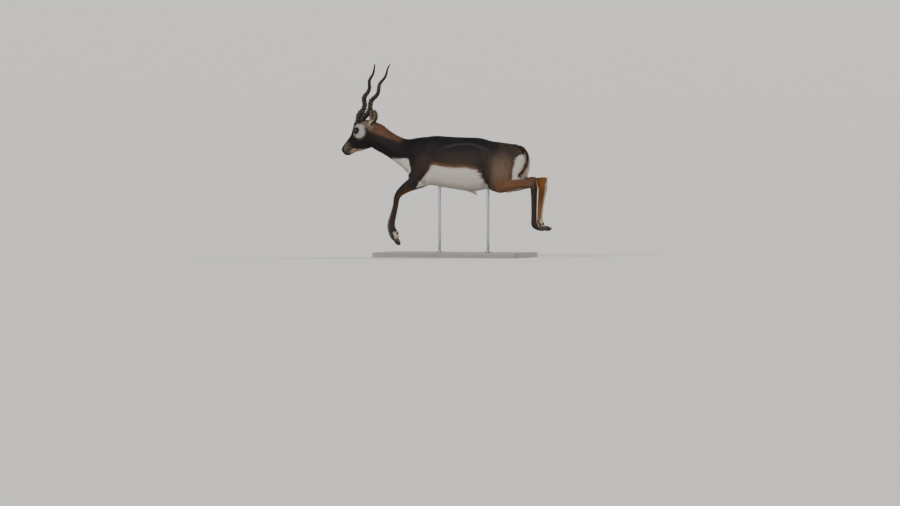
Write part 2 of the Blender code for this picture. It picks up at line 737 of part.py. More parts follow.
def horn_point(side_name, t, root, axis, first, second):
    """Centre of the horn at t from 0 at the root to 1 at the tip."""
    turn = -1 if side_name == "right" else 1
    curl = HORN_CURL * max(1 - t, 0) ** HORN_CURL_FADE if t > 0 else HORN_CURL
    angle = HORN_PHASE[side_name] + math.tau * HORN_TURNS * t + curl
    swing = HORN_SWING * max(1 - t, 0) ** 0.45 * min(1, 0.35 + 4 * t)
    offset = first * math.cos(angle) + second * math.sin(angle) * turn
    bow = HORN_BOW[side_name] * math.sin(math.pi * min(max(t, 0), 1) ** 0.7)
    return root + axis * t + offset * swing - first * bow


def horn(side_name, grow=0.0, until=1.0):
    """A ringed corkscrew horn with its root sunk in the head."""
    side = 1 if side_name == "right" else -1
    root = Vector((HORN_ROOT[0], HORN_ROOT[1] * side, HORN_ROOT[2]))
    tip = Vector((HORN_TIP[0], HORN_TIP[1] * side, HORN_TIP[2]))
    axis = tip - root
    first = (Vector((1, 0, 0)) - axis * axis.x / axis.length_squared).normalized()
    second = axis.cross(first).normalized()
    if second.dot(SIDE) < 0:
        second.negate()
    levels = [(-HORN_SUNK - grow / axis.length, HORN_GROOVE)]
    step = HORN_RINGED_PART / HORN_RINGS
    for ring in range(HORN_RINGS):
        levels += [(ring * step, HORN_GROOVE), ((ring + 0.6) * step, HORN_CREST)]
    levels += [(HORN_RINGED_PART + (1 - HORN_RINGED_PART) * part / 8, 0.95) for part in range(9)]
    rings = []
    for t, swell in levels:
        if t > until:
            break
        centre = horn_point(side_name, t, root, axis, first, second)
        ahead = horn_point(side_name, min(t + 0.01, 1.01), root, axis, first, second)
        behind = horn_point(side_name, t - 0.01, root, axis, first, second)
        forward = (ahead - behind).normalized()
        across = forward.cross(first).normalized()
        over = across.cross(forward).normalized()
        taper = (1 - t) ** HORN_TAPER
        radius = (HORN_TIP_RADIUS + (HORN_BASE_RADIUS - HORN_TIP_RADIUS) * taper)
        ridge = 1 + (swell - 1) * min(1, taper * 1.6)
        ring = []
        for step in range(HORN_SIDES):
            angle = math.tau * step / HORN_SIDES
            front = over * math.cos(angle) * (radius * 1.08 * ridge + grow)
            ring.append(centre + front + across * math.sin(angle) * (radius * 0.92 * ridge + grow))
        rings.append(ring)
    return add_object(f"horn_{side_name}", skin_rings("horn", rings), "horn")


def ear(side, grow=0.0, shell=True):
    """A leaf-shaped ear with its cup open outwards; the plain stalk alone is the cutter of its seat."""
    root = on_head(-0.041, 0.028, 0.038 * side)
    lean = Vector(EAR_LEAN[side]).normalized()
    opening = Vector((-0.42, 0.86 * side, -0.30))
    opening = (opening - lean * opening.dot(lean)).normalized()
    across = lean.cross(opening).normalized()
    profile = (
        (-0.10, 0.40, 0.40, 0.0),
        (0.04, 0.42, 0.42, 0.0),
        (0.14, 0.56, 0.46, 0.25),
        (0.26, 0.82, 0.44, 0.80),
        (0.42, 1.00, 0.36, 1.15),
        (0.60, 0.97, 0.30, 1.15),
        (0.76, 0.78, 0.24, 0.95),
        (0.90, 0.44, 0.16, 0.55),
        (0.985, 0.14, 0.08, 0.1),
    )
    rings = []
    for t, wide, deep, hollow in profile:
        if not shell and t > 0.15:
            break
        centre = root + lean * EAR_LENGTH * t - opening * EAR_LENGTH * 0.10 * math.sin(math.pi * max(t, 0))
        half = EAR_HALF_WIDTH * wide
        back = EAR_HALF_WIDTH * deep
        ring = []
        for step in range(11):
            angle = math.pi * step / 10
            ring.append(
                centre
                + across * math.cos(angle) * (half + grow)
                - opening * math.sin(angle) * (back + grow)
            )
        for step in range(1, 8):
            x = -1 + 2 * step / 8
            front = (1 - x * x) * (0.30 - hollow * 0.5) * EAR_HALF_WIDTH if shell and hollow else 0
            plain = math.sqrt(1 - x * x) * (back + grow)
            lift = front if hollow else plain
            limit = -(math.sqrt(1 - x * x) * back) + 0.0022
            ring.append(centre + across * x * (half + grow) * 0.94 + opening * max(lift, limit))
        rings.append(ring)
    name = "ear_left" if side < 0 else "ear_right"
    return add_object(name, skin_rings(name, rings), "pale_ear")


def claw(name, coronet, cut_front, toe, front, side_out):
    """One claw of a foot: flat inner side, rounded outer side, flat sole, pointed at the toe."""
    across = toe.cross(front).normalized()
    if across.dot(SIDE) * side_out < 0:
        across.negate()
    outline = (
        (0.000, 0.0140, 0.0150, 1.00),
        (0.180, 0.0150, 0.0175, 1.06),
        (0.450, 0.0125, 0.0185, 1.02),
        (0.700, 0.0082, 0.0185, 0.84),
        (0.880, 0.0020, 0.0172, 0.56),
        (0.990, -0.0065, 0.0155, 0.22),
    )
    rings = []
    for t, rise, drop, wide in outline:
        inner = coronet + toe * (CLAW_LENGTH * t) + across * (CLAW_CLEFT / 2)
        upright = front if t else cut_front
        width = CLAW_WIDTH * wide
        ring = []
        for u, v in (
            (0.04, -1.0), (0.55, -1.0), (0.92, -0.97), (1.0, -0.55), (0.94, 0.05),
            (0.76, 0.60), (0.42, 0.96), (0.06, 1.0), (0.0, 0.55), (0.0, -0.55),
        ):
            middle = (rise - drop) / 2
            half = (rise + drop) / 2
            ring.append(inner + across * width * u + upright * (middle + half * v))
        rings.append(ring)
    return add_object(name, skin_rings(name, rings), "hoof")


def foot(limb_name, stations, toe_drop):
    """Two claws below the last station of a leg, and the cut that parts them from the pastern."""
    end = Vector(stations[-1][:3])
    before = Vector(stations[-2][:3])
    toe = (end - before).normalized()
    front = SIDE.cross(toe).normalized()
    toe_line = (toe * math.cos(toe_drop) - front * math.sin(toe_drop)).normalized()
    upright = SIDE.cross(toe_line).normalized()
    coronet = before + (end - before) * 0.42
    for label, side_out in (("left", -1), ("right", 1)):
        place = coronet + toe * GAP
        claw(f"{limb_name}_claw_{label}", place, front, toe_line, upright, side_out)
    return coronet, toe


def stand():
    """The flat base and the two rods, with a low collar round each rod's foot."""
    shape = bmesh.new()
    bmesh.ops.create_cube(shape, size=1)
    size = Matrix.Diagonal((BASE_LENGTH, BASE_WIDTH, BASE_THICKNESS, 1))
    bmesh.ops.transform(shape, matrix=Matrix.Translation((0, 0, BASE_THICKNESS / 2)) @ size, verts=shape.verts)
    upright = [edge for edge in shape.edges if abs(edge.verts[0].co.z - edge.verts[1].co.z) > BASE_THICKNESS / 2]
    bmesh.ops.bevel(shape, geom=upright, offset=BASE_CORNER, segments=6, affect="EDGES", profile=0.5)
    top = [edge for edge in shape.edges if min(v.co.z for v in edge.verts) > BASE_THICKNESS - 1e-5]
    rim = [edge for edge in top if any(abs(face.normal.z) < 0.5 for face in edge.link_faces)]
    bmesh.ops.bevel(shape, geom=rim, offset=0.003, segments=2, affect="EDGES", profile=0.5)
    mesh = bpy.data.meshes.new("stand_base")
    shape.to_mesh(mesh)
    shape.free()
    base = add_object("stand_base", mesh, "stand_base")
    base.data.name = "stand_base"


def rod(name, x, foot_z, top_z, radius, sides=20):
    """An upright cylinder on the middle line."""
    rings = []
    for z in (foot_z, top_z):
        ring = []
        for step in range(sides):
            angle = math.tau * step / sides
            ring.append(Vector((x + math.cos(angle) * radius, math.sin(angle) * radius, z)))
        rings.append(ring)
    return add_object(name, skin_rings(name, rings))


def collar(name, x):
    """A low ring that stands on the base round a rod."""
    rings = []
    sizes = (
        (ROD_RADIUS + GAP, 0),
        (COLLAR_RADIUS, 0),
        (COLLAR_RADIUS, COLLAR_HEIGHT * 0.7),
        (COLLAR_RADIUS - COLLAR_HEIGHT * 0.3, COLLAR_HEIGHT),
        (ROD_RADIUS + GAP, COLLAR_HEIGHT),
    )
    for step in range(16):
        angle = math.tau * step / 16
        outward = Vector((math.cos(angle), math.sin(angle), 0))
        foot_place = Vector((x, 0, BASE_THICKNESS + GAP))
        rings.append([foot_place + outward * radius + Vector((0, 0, z)) for radius, z in sizes])
    return add_object(name, skin_rings(name, rings, closed=True), "stand_rod")


def belly_height(form, x):
    """Height of the lowest flesh on the middle line near x."""
    under = [v.co.z for v in form.data.vertices if abs(v.co.x - x) < 0.04 and abs(v.co.y) < 0.04]
    return min(under)


def build_head(form):
    """Cut the head off the fine form and carve eyes, nostrils, mouth and the seats of horns and ears."""
    head = part_off("head", form, [HEAD_CUT])
    boolean(head, "UNION", [lids(-1), lids(1)])
    cutters = []
    for side, side_name in ((-1, "left"), (1, "right")):
        cutters.append(eyeball("socket", side, GAP))
        cutters.append(lid_opening(side))
        cutters.append(nostril(side))
        cutters.append(gland(side))
        cutters.append(horn(side_name, GAP, 0.10))
        cutters.append(ear(side, GAP, shell=False))
    cutters.append(mouth_line())
    for cutter in cutters:
        boolean(head, "DIFFERENCE", [cutter])


def build_body(form):
    """Part the coarse form into neck, torso and legs, and give the rods their sockets."""
    boolean(form, "DIFFERENCE", [limb("tail_seat", TAIL, 3, grow=GAP, sides=12)])
    part_off("neck", form, [NECK_CUT], ends=[HEAD_CUT])
    torso = part_off("torso", form, [], ends=[NECK_CUT])
    tops = {}
    for name, x in (("stand_rod_front", ROD_FRONT_X), ("stand_rod_rear", ROD_REAR_X)):
        tops[name] = (x, belly_height(torso, x) + ROD_SOCKET)
    for side, side_name, forearm, shank in (
        (-1, "left", FOREARM_LEFT, SHANK_LEFT),
        (1, "right", FOREARM_RIGHT, SHANK_RIGHT),
    ):
        fore_coronet, fore_toe = foot(f"foreleg_{side_name}", forearm, FORE_TOE_DROP[side_name])
        hind_coronet, hind_toe = foot(f"hindleg_{side_name}", shank, HIND_TOE_DROP)
        fore_end = (fore_coronet * 1, fore_toe)
        hind_end = (hind_coronet * 1, hind_toe)
        for end in (fore_end, hind_end):
            end[0].y *= side
        fore_cuts = [ELBOW_CUT, BREAST_CUT]
        hind_cuts = [THIGH_CUT, SHANK_CUT]
        part_off(f"foreleg_{side_name}_upper", form, fore_cuts, side, [CARPUS_CUT], FORELEG_INNER)
        part_off(f"foreleg_{side_name}_lower", form, [*fore_cuts, CARPUS_CUT], side, [fore_end], FORELEG_INNER)
        part_off(f"hindleg_{side_name}_thigh", form, [THIGH_CUT], side, [SHANK_CUT], THIGH_INNER)
        part_off(f"hindleg_{side_name}_shank", form, hind_cuts, side, [HOCK_CUT], THIGH_INNER)
        part_off(f"hindleg_{side_name}_cannon", form, [*hind_cuts, HOCK_CUT], side, [hind_end], THIGH_INNER)
        for cuts, inner in ((fore_cuts, FORELEG_INNER), ([THIGH_CUT], THIGH_INNER)):
            planes = [shifted(cut, side, -GAP / 2) for cut in cuts]
            planes.append((Vector((0, side * (inner - GAP), 0)), SIDE * side))
            boolean(torso, "DIFFERENCE", [half_space("limb", planes)])
    tail = limb("tail", TAIL, 3, sides=12)
    tail.data.materials.append(material("black_coat"))
    for name, (x, top) in tops.items():
        boolean(torso, "DIFFERENCE", [rod("socket", x, 0.2, top + GAP, ROD_RADIUS + GAP)])
        made = rod(name, x, BASE_THICKNESS + GAP, top, ROD_RADIUS)
        made.data.materials.append(material("stand_rod"))
        collar(name.replace("rod", "collar"), x)


def build():
    """The whole model."""
    for old in list(bpy.data.objects):
        bpy.data.objects.remove(old)
    coarse = blend("coarse", flesh_masses(), BODY_VOXEL, 30, 3)
    decimate(coarse, BODY_TRIANGLES)
    head_masses = [limb("neck_mass", NECK, fullness=(2.0, 2.2), sides=24), skull()]
    for side in (-1, 1):
        head_masses += [brow(side), pedicle(side)]
    fine = blend("fine", head_masses, HEAD_VOXEL, 10, 2)
    decimate(fine, HEAD_TRIANGLES)
    build_head(fine)
    build_body(coarse)
    for side, name in ((-1, "eye_left"), (1, "eye_right")):
        eyeball(name, side).data.materials.append(material("eye"))
    horn("left")
    horn("right")
    ear(-1)
    ear(1)
    stand()
    remove_object(coarse)
    remove_object(fine)


build()
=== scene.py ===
import math

import bmesh
import bpy
import numpy as np
from mathutils import Matrix, Vector


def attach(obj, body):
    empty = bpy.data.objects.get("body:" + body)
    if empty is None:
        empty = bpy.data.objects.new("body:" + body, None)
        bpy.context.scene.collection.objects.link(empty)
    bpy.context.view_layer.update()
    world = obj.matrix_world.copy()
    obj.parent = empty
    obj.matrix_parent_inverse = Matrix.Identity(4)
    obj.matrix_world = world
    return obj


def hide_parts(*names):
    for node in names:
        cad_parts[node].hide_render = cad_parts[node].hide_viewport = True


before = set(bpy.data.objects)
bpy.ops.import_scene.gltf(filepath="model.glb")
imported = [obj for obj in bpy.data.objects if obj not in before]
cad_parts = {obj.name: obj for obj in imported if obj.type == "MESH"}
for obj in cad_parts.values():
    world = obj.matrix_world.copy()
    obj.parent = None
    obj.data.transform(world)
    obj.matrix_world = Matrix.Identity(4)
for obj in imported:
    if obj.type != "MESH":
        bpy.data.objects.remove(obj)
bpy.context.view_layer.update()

sides = {"left": -1, "right": 1}

headPlace = {
    "origin": Vector((-0.56, 0, 0.78)),  # inside the skull, between the ears
    "pitch": math.radians(36.3),
    "eyeCentre": (0.054, 0.043, 0.0360),  # along the head, above its axis, out from the middle
    "eyeRadius": 0.0185,
    "eyeOpening": (0.0166, 0.0128),
}
headForward = Vector((-math.cos(headPlace["pitch"]), 0, -math.sin(headPlace["pitch"])))
headUp = Vector((-math.sin(headPlace["pitch"]), 0, math.cos(headPlace["pitch"])))


def onHead(along, above, out=0.0):
    return headPlace["origin"] + headForward * along + headUp * above + Vector((0, out, 0))


def smooth(low, high, value):
    t = np.clip((value - low) / (high - low), 0, 1)
    return t * t * (3 - 2 * t)


def blendTones(under, over, amount):
    return under + (np.asarray(over) - under) * amount[:, None]


def addObject(name, mesh):
    made = bpy.data.objects.new(name, mesh)
    bpy.context.scene.collection.objects.link(made)
    return made


def dropObject(unwanted):
    mesh = unwanted.data
    bpy.data.objects.remove(unwanted)
    if isinstance(mesh, bpy.types.Mesh):
        bpy.data.meshes.remove(mesh)


def evaluatedMesh(piece):
    graph = bpy.context.evaluated_depsgraph_get()
    graph.update()
    return bpy.data.meshes.new_from_object(piece.evaluated_get(graph))


def bakeModifiers(piece):
    mesh = evaluatedMesh(piece)
    old = piece.data
    piece.modifiers.clear()
    piece.data = mesh
    bpy.data.meshes.remove(old)


def vertexArray(mesh):
    places = np.empty(len(mesh.vertices) * 3, dtype=np.float32)
    mesh.vertices.foreach_get("co", places)
    return places.reshape(-1, 3).astype(np.float64)


def normalArray(mesh):
    normals = np.empty(len(mesh.vertices) * 3, dtype=np.float32)
    mesh.vertex_normals.foreach_get("vector", normals)
    return normals.reshape(-1, 3).astype(np.float64)


def placeVertices(mesh, places):
    mesh.vertices.foreach_set("co", places.astype(np.float32).ravel())
    mesh.update()


def storeValues(mesh, name, kind, domain, values):
    layer = mesh.attributes.new(name, kind, domain)
    field = "color" if kind == "FLOAT_COLOR" else "vector" if kind == "FLOAT_VECTOR" else "value"
    layer.data.foreach_set(field, np.ascontiguousarray(values).ravel())


def meshOfRings(name, rings, closed=False, caps=True):
    shape = bmesh.new()
    layers = [[shape.verts.new(point) for point in ring] for ring in rings]
    pairs = list(zip(layers, layers[1:])) + ([(layers[-1], layers[0])] if closed else [])
    for lower, upper in pairs:
        for index in range(len(lower)):
            beside = (index + 1) % len(lower)
            shape.faces.new((lower[index], lower[beside], upper[beside], upper[index]))
    if caps and not closed:
        shape.faces.new(list(reversed(layers[0])))
        shape.faces.new(layers[-1])
    bmesh.ops.recalc_face_normals(shape, faces=shape.faces)
    mesh = bpy.data.meshes.new(name)
    shape.to_mesh(mesh)
    shape.free()
    return mesh


def smoothShade(mesh):
    mesh.polygons.foreach_set("use_smooth", [True] * len(mesh.polygons))


# ---- materials


def newMaterial(name):
    made = bpy.data.materials.new(name)
    made.use_nodes = True
    made.node_tree.nodes.clear()
    output = made.node_tree.nodes.new("ShaderNodeOutputMaterial")
    shader = made.node_tree.nodes.new("ShaderNodeBsdfPrincipled")
    made.node_tree.links.new(shader.outputs["BSDF"], output.inputs["Surface"])
    return made, made.node_tree, shader


def addNode(tree, kind, settings=None, inputs=None):
    node = tree.nodes.new(kind)
    for name, value in (settings or {}).items():
        setattr(node, name, value)
    for name, value in (inputs or {}).items():
        socket = node.inputs[name]
        if isinstance(value, bpy.types.NodeSocket):
            tree.links.new(value, socket)
        else:
            socket.default_value = value
    return node


def mathNode(tree, operation, first, second=0.5, clamp=False):
    return addNode(tree, "ShaderNodeMath", {"operation": operation, "use_clamp": clamp}, {0: first, 1: second}).outputs[0]


def noiseNode(tree, coords, scale, detail=4.0, roughness=0.6):
    made = addNode(tree, "ShaderNodeTexNoise", None, {"Vector": coords, "Scale": scale, "Detail": detail, "Roughness": roughness})
    return made.outputs["Fac"]


def rampNode(tree, factor, stops):
    node = addNode(tree, "ShaderNodeValToRGB", None, {"Fac": factor})
    ramp = node.color_ramp
    while len(ramp.elements) < len(stops):
        ramp.elements.new(0.5)
    for element, (place, tone) in zip(ramp.elements, stops):
        element.position = place
        element.color = (*tone, 1)
    return node.outputs["Color"]


def mixTones(tree, factor, first, second, blend="MIX"):
    node = addNode(tree, "ShaderNodeMix", {"data_type": "RGBA", "blend_type": blend})
    for name, value in ((0, factor), (6, first), (7, second)):
        if isinstance(value, bpy.types.NodeSocket):
            tree.links.new(value, node.inputs[name])
        else:
            node.inputs[name].default_value = value
    return node.outputs[2]


def bumpNode(tree, shader, height, strength, distance):
    bump = addNode(tree, "ShaderNodeBump", None, {"Height": height, "Strength": strength, "Distance": distance})
    tree.links.new(bump.outputs["Normal"], shader.inputs["Normal"])


def attributeNode(tree, name, output="Color"):
    return addNode(tree, "ShaderNodeAttribute", {"attribute_name": name}).outputs[output]


def skinMaterial():
    made, tree, shader = newMaterial("shortHairOverSkin")
    tone = attributeNode(tree, "coatTone")
    streak = attributeNode(tree, "streak", "Vector")
    stretched = addNode(tree, "ShaderNodeMapping", None, {"Vector": streak, "Scale": (1500.0, 110.0, 1.0)}).outputs[0]
    strands = noiseNode(tree, stretched, 1.0, 3.0, 0.6)
    patches = noiseNode(tree, streak, 38.0, 3.0)
    shade = rampNode(tree, strands, ((0.25, (0.66, 0.65, 0.64)), (0.75, (1.16, 1.15, 1.13))))
    worn = rampNode(tree, patches, ((0.3, (0.82, 0.82, 0.82)), (0.7, (1.12, 1.1, 1.08))))
    tree.links.new(mixTones(tree, 1.0, mixTones(tree, 1.0, tone, shade, "MULTIPLY"), worn, "MULTIPLY"), shader.inputs["Base Color"])
    shader.inputs["Roughness"].default_value = 0.70
    shader.inputs["Specular IOR Level"].default_value = 0.12
    bumpNode(tree, shader, strands, 0.5, 0.0012)
    return made


def bareSkinMaterial():
    made, tree, shader = newMaterial("moistBareSkin")
    place = addNode(tree, "ShaderNodeTexCoord").outputs["Object"]
    cells = addNode(tree, "ShaderNodeTexVoronoi", {"feature": "DISTANCE_TO_EDGE"}, {"Vector": place, "Scale": 620.0}).outputs["Distance"]
    mottle = noiseNode(tree, place, 160.0)
    tree.links.new(rampNode(tree, mottle, ((0.3, (0.004, 0.0035, 0.0035)), (0.75, (0.012, 0.010, 0.010)))), shader.inputs["Base Color"])
    shader.inputs["Roughness"].default_value = 0.42
    shader.inputs["Specular IOR Level"].default_value = 0.22
    bumpNode(tree, shader, mathNode(tree, "MULTIPLY", cells, 8.0, True), 0.45, 0.0006)
    return made


def tuftMaterial():
    made, tree, shader = newMaterial("coatHair")
    tone = attributeNode(tree, "coatTone")
    along = attributeNode(tree, "along", "Fac")
    shade = attributeNode(tree, "tuftShade", "Fac")
    lift = rampNode(tree, along, ((0.0, (0.74, 0.73, 0.73)), (0.45, (1.0, 1.0, 1.0)), (1.0, (1.24, 1.20, 1.14))))
    varied = addNode(tree, "ShaderNodeMapRange", None, {"Value": shade, "To Min": 0.80, "To Max": 1.20}).outputs[0]
    grey = addNode(tree, "ShaderNodeCombineColor", None, {0: varied, 1: varied, 2: varied}).outputs[0]
    tree.links.new(mixTones(tree, 1.0, mixTones(tree, 1.0, tone, lift, "MULTIPLY"), grey, "MULTIPLY"), shader.inputs["Base Color"])
    shader.inputs["Roughness"].default_value = 0.52
    shader.inputs["Specular IOR Level"].default_value = 0.16
    return made


def hornMaterial():
    made, tree, shader = newMaterial("ringedHorn")
    around = attributeNode(tree, "hornPlace", "Vector")
    place = addNode(tree, "ShaderNodeTexCoord").outputs["Object"]
    level = addNode(tree, "ShaderNodeSeparateXYZ", None, {0: around})
    stretched = addNode(tree, "ShaderNodeMapping", None, {"Vector": around, "Scale": (60.0, 9.0, 1.0)}).outputs[0]
    grain = noiseNode(tree, stretched, 1.0, 5.0, 0.65)
    mottle = noiseNode(tree, place, 70.0)
    base = rampNode(tree, grain, ((0.25, (0.013, 0.010, 0.007)), (0.55, (0.036, 0.026, 0.017)), (0.8, (0.085, 0.061, 0.038))))
    # ring crests lighter and the hollows between them darker: partly worn ridges, partly painted highlight on the
    # crests and painted shade in the hollows
    crest = rampNode(tree, level.outputs[2], ((0.15, (0.42, 0.40, 0.38)), (0.75, (1.25, 1.20, 1.10))))
    worn = mixTones(tree, 1.0, base, crest, "MULTIPLY")
    tip = mixTones(tree, rampNode(tree, level.outputs[1], ((0.78, (0, 0, 0)), (0.98, (1, 1, 1)))), worn, (0.014, 0.012, 0.011, 1))
    tree.links.new(mixTones(tree, 1.0, tip, rampNode(tree, mottle, ((0.35, (0.7, 0.7, 0.7)), (0.7, (1.15, 1.15, 1.15)))), "MULTIPLY"), shader.inputs["Base Color"])
    rough = addNode(tree, "ShaderNodeMapRange", None, {"Value": grain, "To Min": 0.42, "To Max": 0.66}).outputs[0]
    tree.links.new(rough, shader.inputs["Roughness"])
    shader.inputs["Specular IOR Level"].default_value = 0.32
    bumpNode(tree, shader, grain, 0.5, 0.0008)
    return made


def hoofMaterial():
    made, tree, shader = newMaterial("polishedHoof")
    place = addNode(tree, "ShaderNodeTexCoord").outputs["Object"]
    stretched = addNode(tree, "ShaderNodeMapping", None, {"Vector": place, "Scale": (380.0, 60.0, 380.0)}).outputs[0]
    growth = noiseNode(tree, stretched, 1.0, 3.0)
    dust = noiseNode(tree, place, 90.0)
    base = rampNode(tree, growth, ((0.3, (0.008, 0.007, 0.006)), (0.75, (0.028, 0.022, 0.018))))
    tree.links.new(mixTones(tree, rampNode(tree, dust, ((0.52, (0, 0, 0)), (0.8, (0.4, 0.4, 0.4)))), base, (0.07, 0.056, 0.043, 1)), shader.inputs["Base Color"])
    rough = addNode(tree, "ShaderNodeMapRange", None, {"Value": dust, "To Min": 0.28, "To Max": 0.6}).outputs[0]
    tree.links.new(rough, shader.inputs["Roughness"])
    bumpNode(tree, shader, growth, 0.35, 0.0006)
    return made


def eyeMaterial():
    made, tree, shader = newMaterial("darkEye")
    look = attributeNode(tree, "gazePlace", "Vector")
    parts = addNode(tree, "ShaderNodeSeparateXYZ", None, {0: look})
    wide = mathNode(tree, "MULTIPLY", parts.outputs[0], parts.outputs[0])
    high = mathNode(tree, "MULTIPLY", mathNode(tree, "MULTIPLY", parts.outputs[1], parts.outputs[1]), 3.4)
    pupil = mathNode(tree, "SQRT", mathNode(tree, "ADD", wide, high), 0.5)
    rim = mathNode(tree, "SQRT", mathNode(tree, "ADD", wide, mathNode(tree, "MULTIPLY", parts.outputs[1], parts.outputs[1])), 0.5)
    rays = noiseNode(tree, addNode(tree, "ShaderNodeMapping", None, {"Vector": look, "Scale": (9.0, 9.0, 2.0)}).outputs[0], 2.0)
    iris = rampNode(tree, rays, ((0.3, (0.006, 0.003, 0.0015)), (0.7, (0.015, 0.007, 0.003))))
    withPupil = mixTones(tree, rampNode(tree, pupil, ((0.40, (1, 1, 1)), (0.47, (0, 0, 0)))), iris, (0.0015, 0.0015, 0.002, 1))
    edged = mixTones(tree, rampNode(tree, rim, ((0.60, (0, 0, 0)), (0.70, (1, 1, 1)))), withPupil, (0.006, 0.004, 0.003, 1))
    tree.links.new(edged, shader.inputs["Base Color"])
    shader.inputs["Roughness"].default_value = 0.06
    shader.inputs["Specular IOR Level"].default_value = 0.38
    return made


def plateMaterial():
    made, tree, shader = newMaterial("satinPlate")
    place = addNode(tree, "ShaderNodeTexCoord").outputs["Object"]
    speckle = noiseNode(tree, place, 900.0, 2.0)
    cloud = noiseNode(tree, place, 9.0, 3.0)
    base = rampNode(tree, cloud, ((0.3, (0.235, 0.226, 0.217)), (0.7, (0.285, 0.274, 0.263))))
    tree.links.new(mixTones(tree, 1.0, base, rampNode(tree, speckle, ((0.3, (0.92, 0.92, 0.92)), (0.7, (1.04, 1.04, 1.04)))), "MULTIPLY"), shader.inputs["Base Color"])
    shader.inputs["Roughness"].default_value = 0.42
    bumpNode(tree, shader, speckle, 0.12, 0.0004)
    return made


def steelMaterial():
    made, tree, shader = newMaterial("brushedSteel")
    place = addNode(tree, "ShaderNodeTexCoord").outputs["Object"]
    stretched = addNode(tree, "ShaderNodeMapping", None, {"Vector": place, "Scale": (60.0, 60.0, 2600.0)}).outputs[0]
    lines = noiseNode(tree, stretched, 1.0, 3.0)
    tree.links.new(rampNode(tree, lines, ((0.3, (0.42, 0.42, 0.43)), (0.7, (0.60, 0.60, 0.61)))), shader.inputs["Base Color"])
    shader.inputs["Metallic"].default_value = 1.0
    rough = addNode(tree, "ShaderNodeMapRange", None, {"Value": lines, "To Min": 0.24, "To Max": 0.42}).outputs[0]
    tree.links.new(rough, shader.inputs["Roughness"])
    bumpNode(tree, shader, lines, 0.15, 0.0002)
    return made


materials = {
    "skin": skinMaterial(),
    "bare": bareSkinMaterial(),
    "tuft": tuftMaterial(),
    "horn": hornMaterial(),
    "hoof": hoofMaterial(),
    "eye": eyeMaterial(),
    "plate": plateMaterial(),
    "steel": steelMaterial(),
}
print("materials made")

# ---- the lines of the body: x, y, z, radius, length of the hair. Hair lies from a line's first knot to its last.

headKnots = ((0.218, -0.008, 0.020, 0.0030), (0.170, -0.008, 0.036, 0.0040), (0.100, -0.008, 0.055, 0.0050), (0.040, 0.000, 0.072, 0.0070), (-0.030, -0.004, 0.062, 0.0105))
bodyLines = {
    "head": [(*onHead(along, above), radius, hair) for along, above, radius, hair in headKnots],
    "neck": [(-0.540, 0, 0.762, 0.070, 0.0120), (-0.488, 0, 0.734, 0.072, 0.0150), (-0.390, 0, 0.678, 0.070, 0.0160), (-0.310, 0, 0.640, 0.090, 0.0145)],
    "trunk": [(-0.270, 0, 0.610, 0.105, 0.0135), (-0.131, 0, 0.600, 0.130, 0.0125), (0.075, 0, 0.578, 0.140, 0.0125), (0.232, 0, 0.580, 0.130, 0.0130), (0.360, 0, 0.610, 0.105, 0.0140), (0.430, 0, 0.620, 0.070, 0.0170)],
    "tail": [(0.412, 0, 0.684, 0.016, 0.013), (0.4500, 0, 0.665, 0.014, 0.014), (0.4660, -0.001, 0.632, 0.013, 0.016), (0.4700, -0.012, 0.598, 0.012, 0.018), (0.4710, -0.036, 0.565, 0.011, 0.020), (0.4660, -0.064, 0.537, 0.010, 0.022), (0.4520, -0.085, 0.510, 0.007, 0.024)],
    "foreLeft": [(-0.190, -0.070, 0.560, 0.060, 0.011), (-0.222, -0.073, 0.490, 0.050, 0.010), (-0.290, -0.069, 0.434, 0.034, 0.009), (-0.345, -0.064, 0.392, 0.023, 0.007), (-0.366, -0.060, 0.335, 0.015, 0.006), (-0.386, -0.060, 0.238, 0.014, 0.006), (-0.391, -0.060, 0.190, 0.015, 0.006), (-0.381, -0.060, 0.150, 0.018, 0.007), (-0.364, -0.060, 0.098, 0.016, 0.007)],
    "foreRight": [(-0.190, 0.070, 0.560, 0.060, 0.011), (-0.236, 0.073, 0.488, 0.050, 0.010), (-0.322, 0.069, 0.435, 0.034, 0.009), (-0.384, 0.064, 0.392, 0.023, 0.007), (-0.408, 0.060, 0.335, 0.015, 0.006), (-0.436, 0.060, 0.240, 0.014, 0.006), (-0.445, 0.060, 0.192, 0.015, 0.006), (-0.440, 0.060, 0.158, 0.018, 0.007), (-0.421, 0.060, 0.110, 0.016, 0.007)],
    "hindLeft": [(0.350, -0.058, 0.610, 0.085, 0.013), (0.335, -0.066, 0.520, 0.085, 0.012), (0.375, -0.075, 0.462, 0.045, 0.010), (0.450, -0.076, 0.461, 0.033, 0.009), (0.508, -0.073, 0.465, 0.028, 0.008), (0.535, -0.072, 0.440, 0.024, 0.007), (0.535, -0.070, 0.370, 0.015, 0.006), (0.535, -0.070, 0.240, 0.014, 0.006), (0.538, -0.070, 0.206, 0.016, 0.007), (0.582, -0.070, 0.179, 0.016, 0.007)],
    "hindRight": [(0.350, 0.058, 0.610, 0.085, 0.013), (0.335, 0.066, 0.520, 0.085, 0.012), (0.385, 0.075, 0.462, 0.045, 0.010), (0.465, 0.076, 0.461, 0.033, 0.009), (0.530, 0.073, 0.463, 0.028, 0.008), (0.556, 0.072, 0.436, 0.024, 0.007), (0.542, 0.070, 0.368, 0.015, 0.006), (0.529, 0.070, 0.240, 0.014, 0.006), (0.532, 0.070, 0.206, 0.016, 0.007), (0.572, 0.070, 0.178, 0.016, 0.007)],
}
lineNames = list(bodyLines)


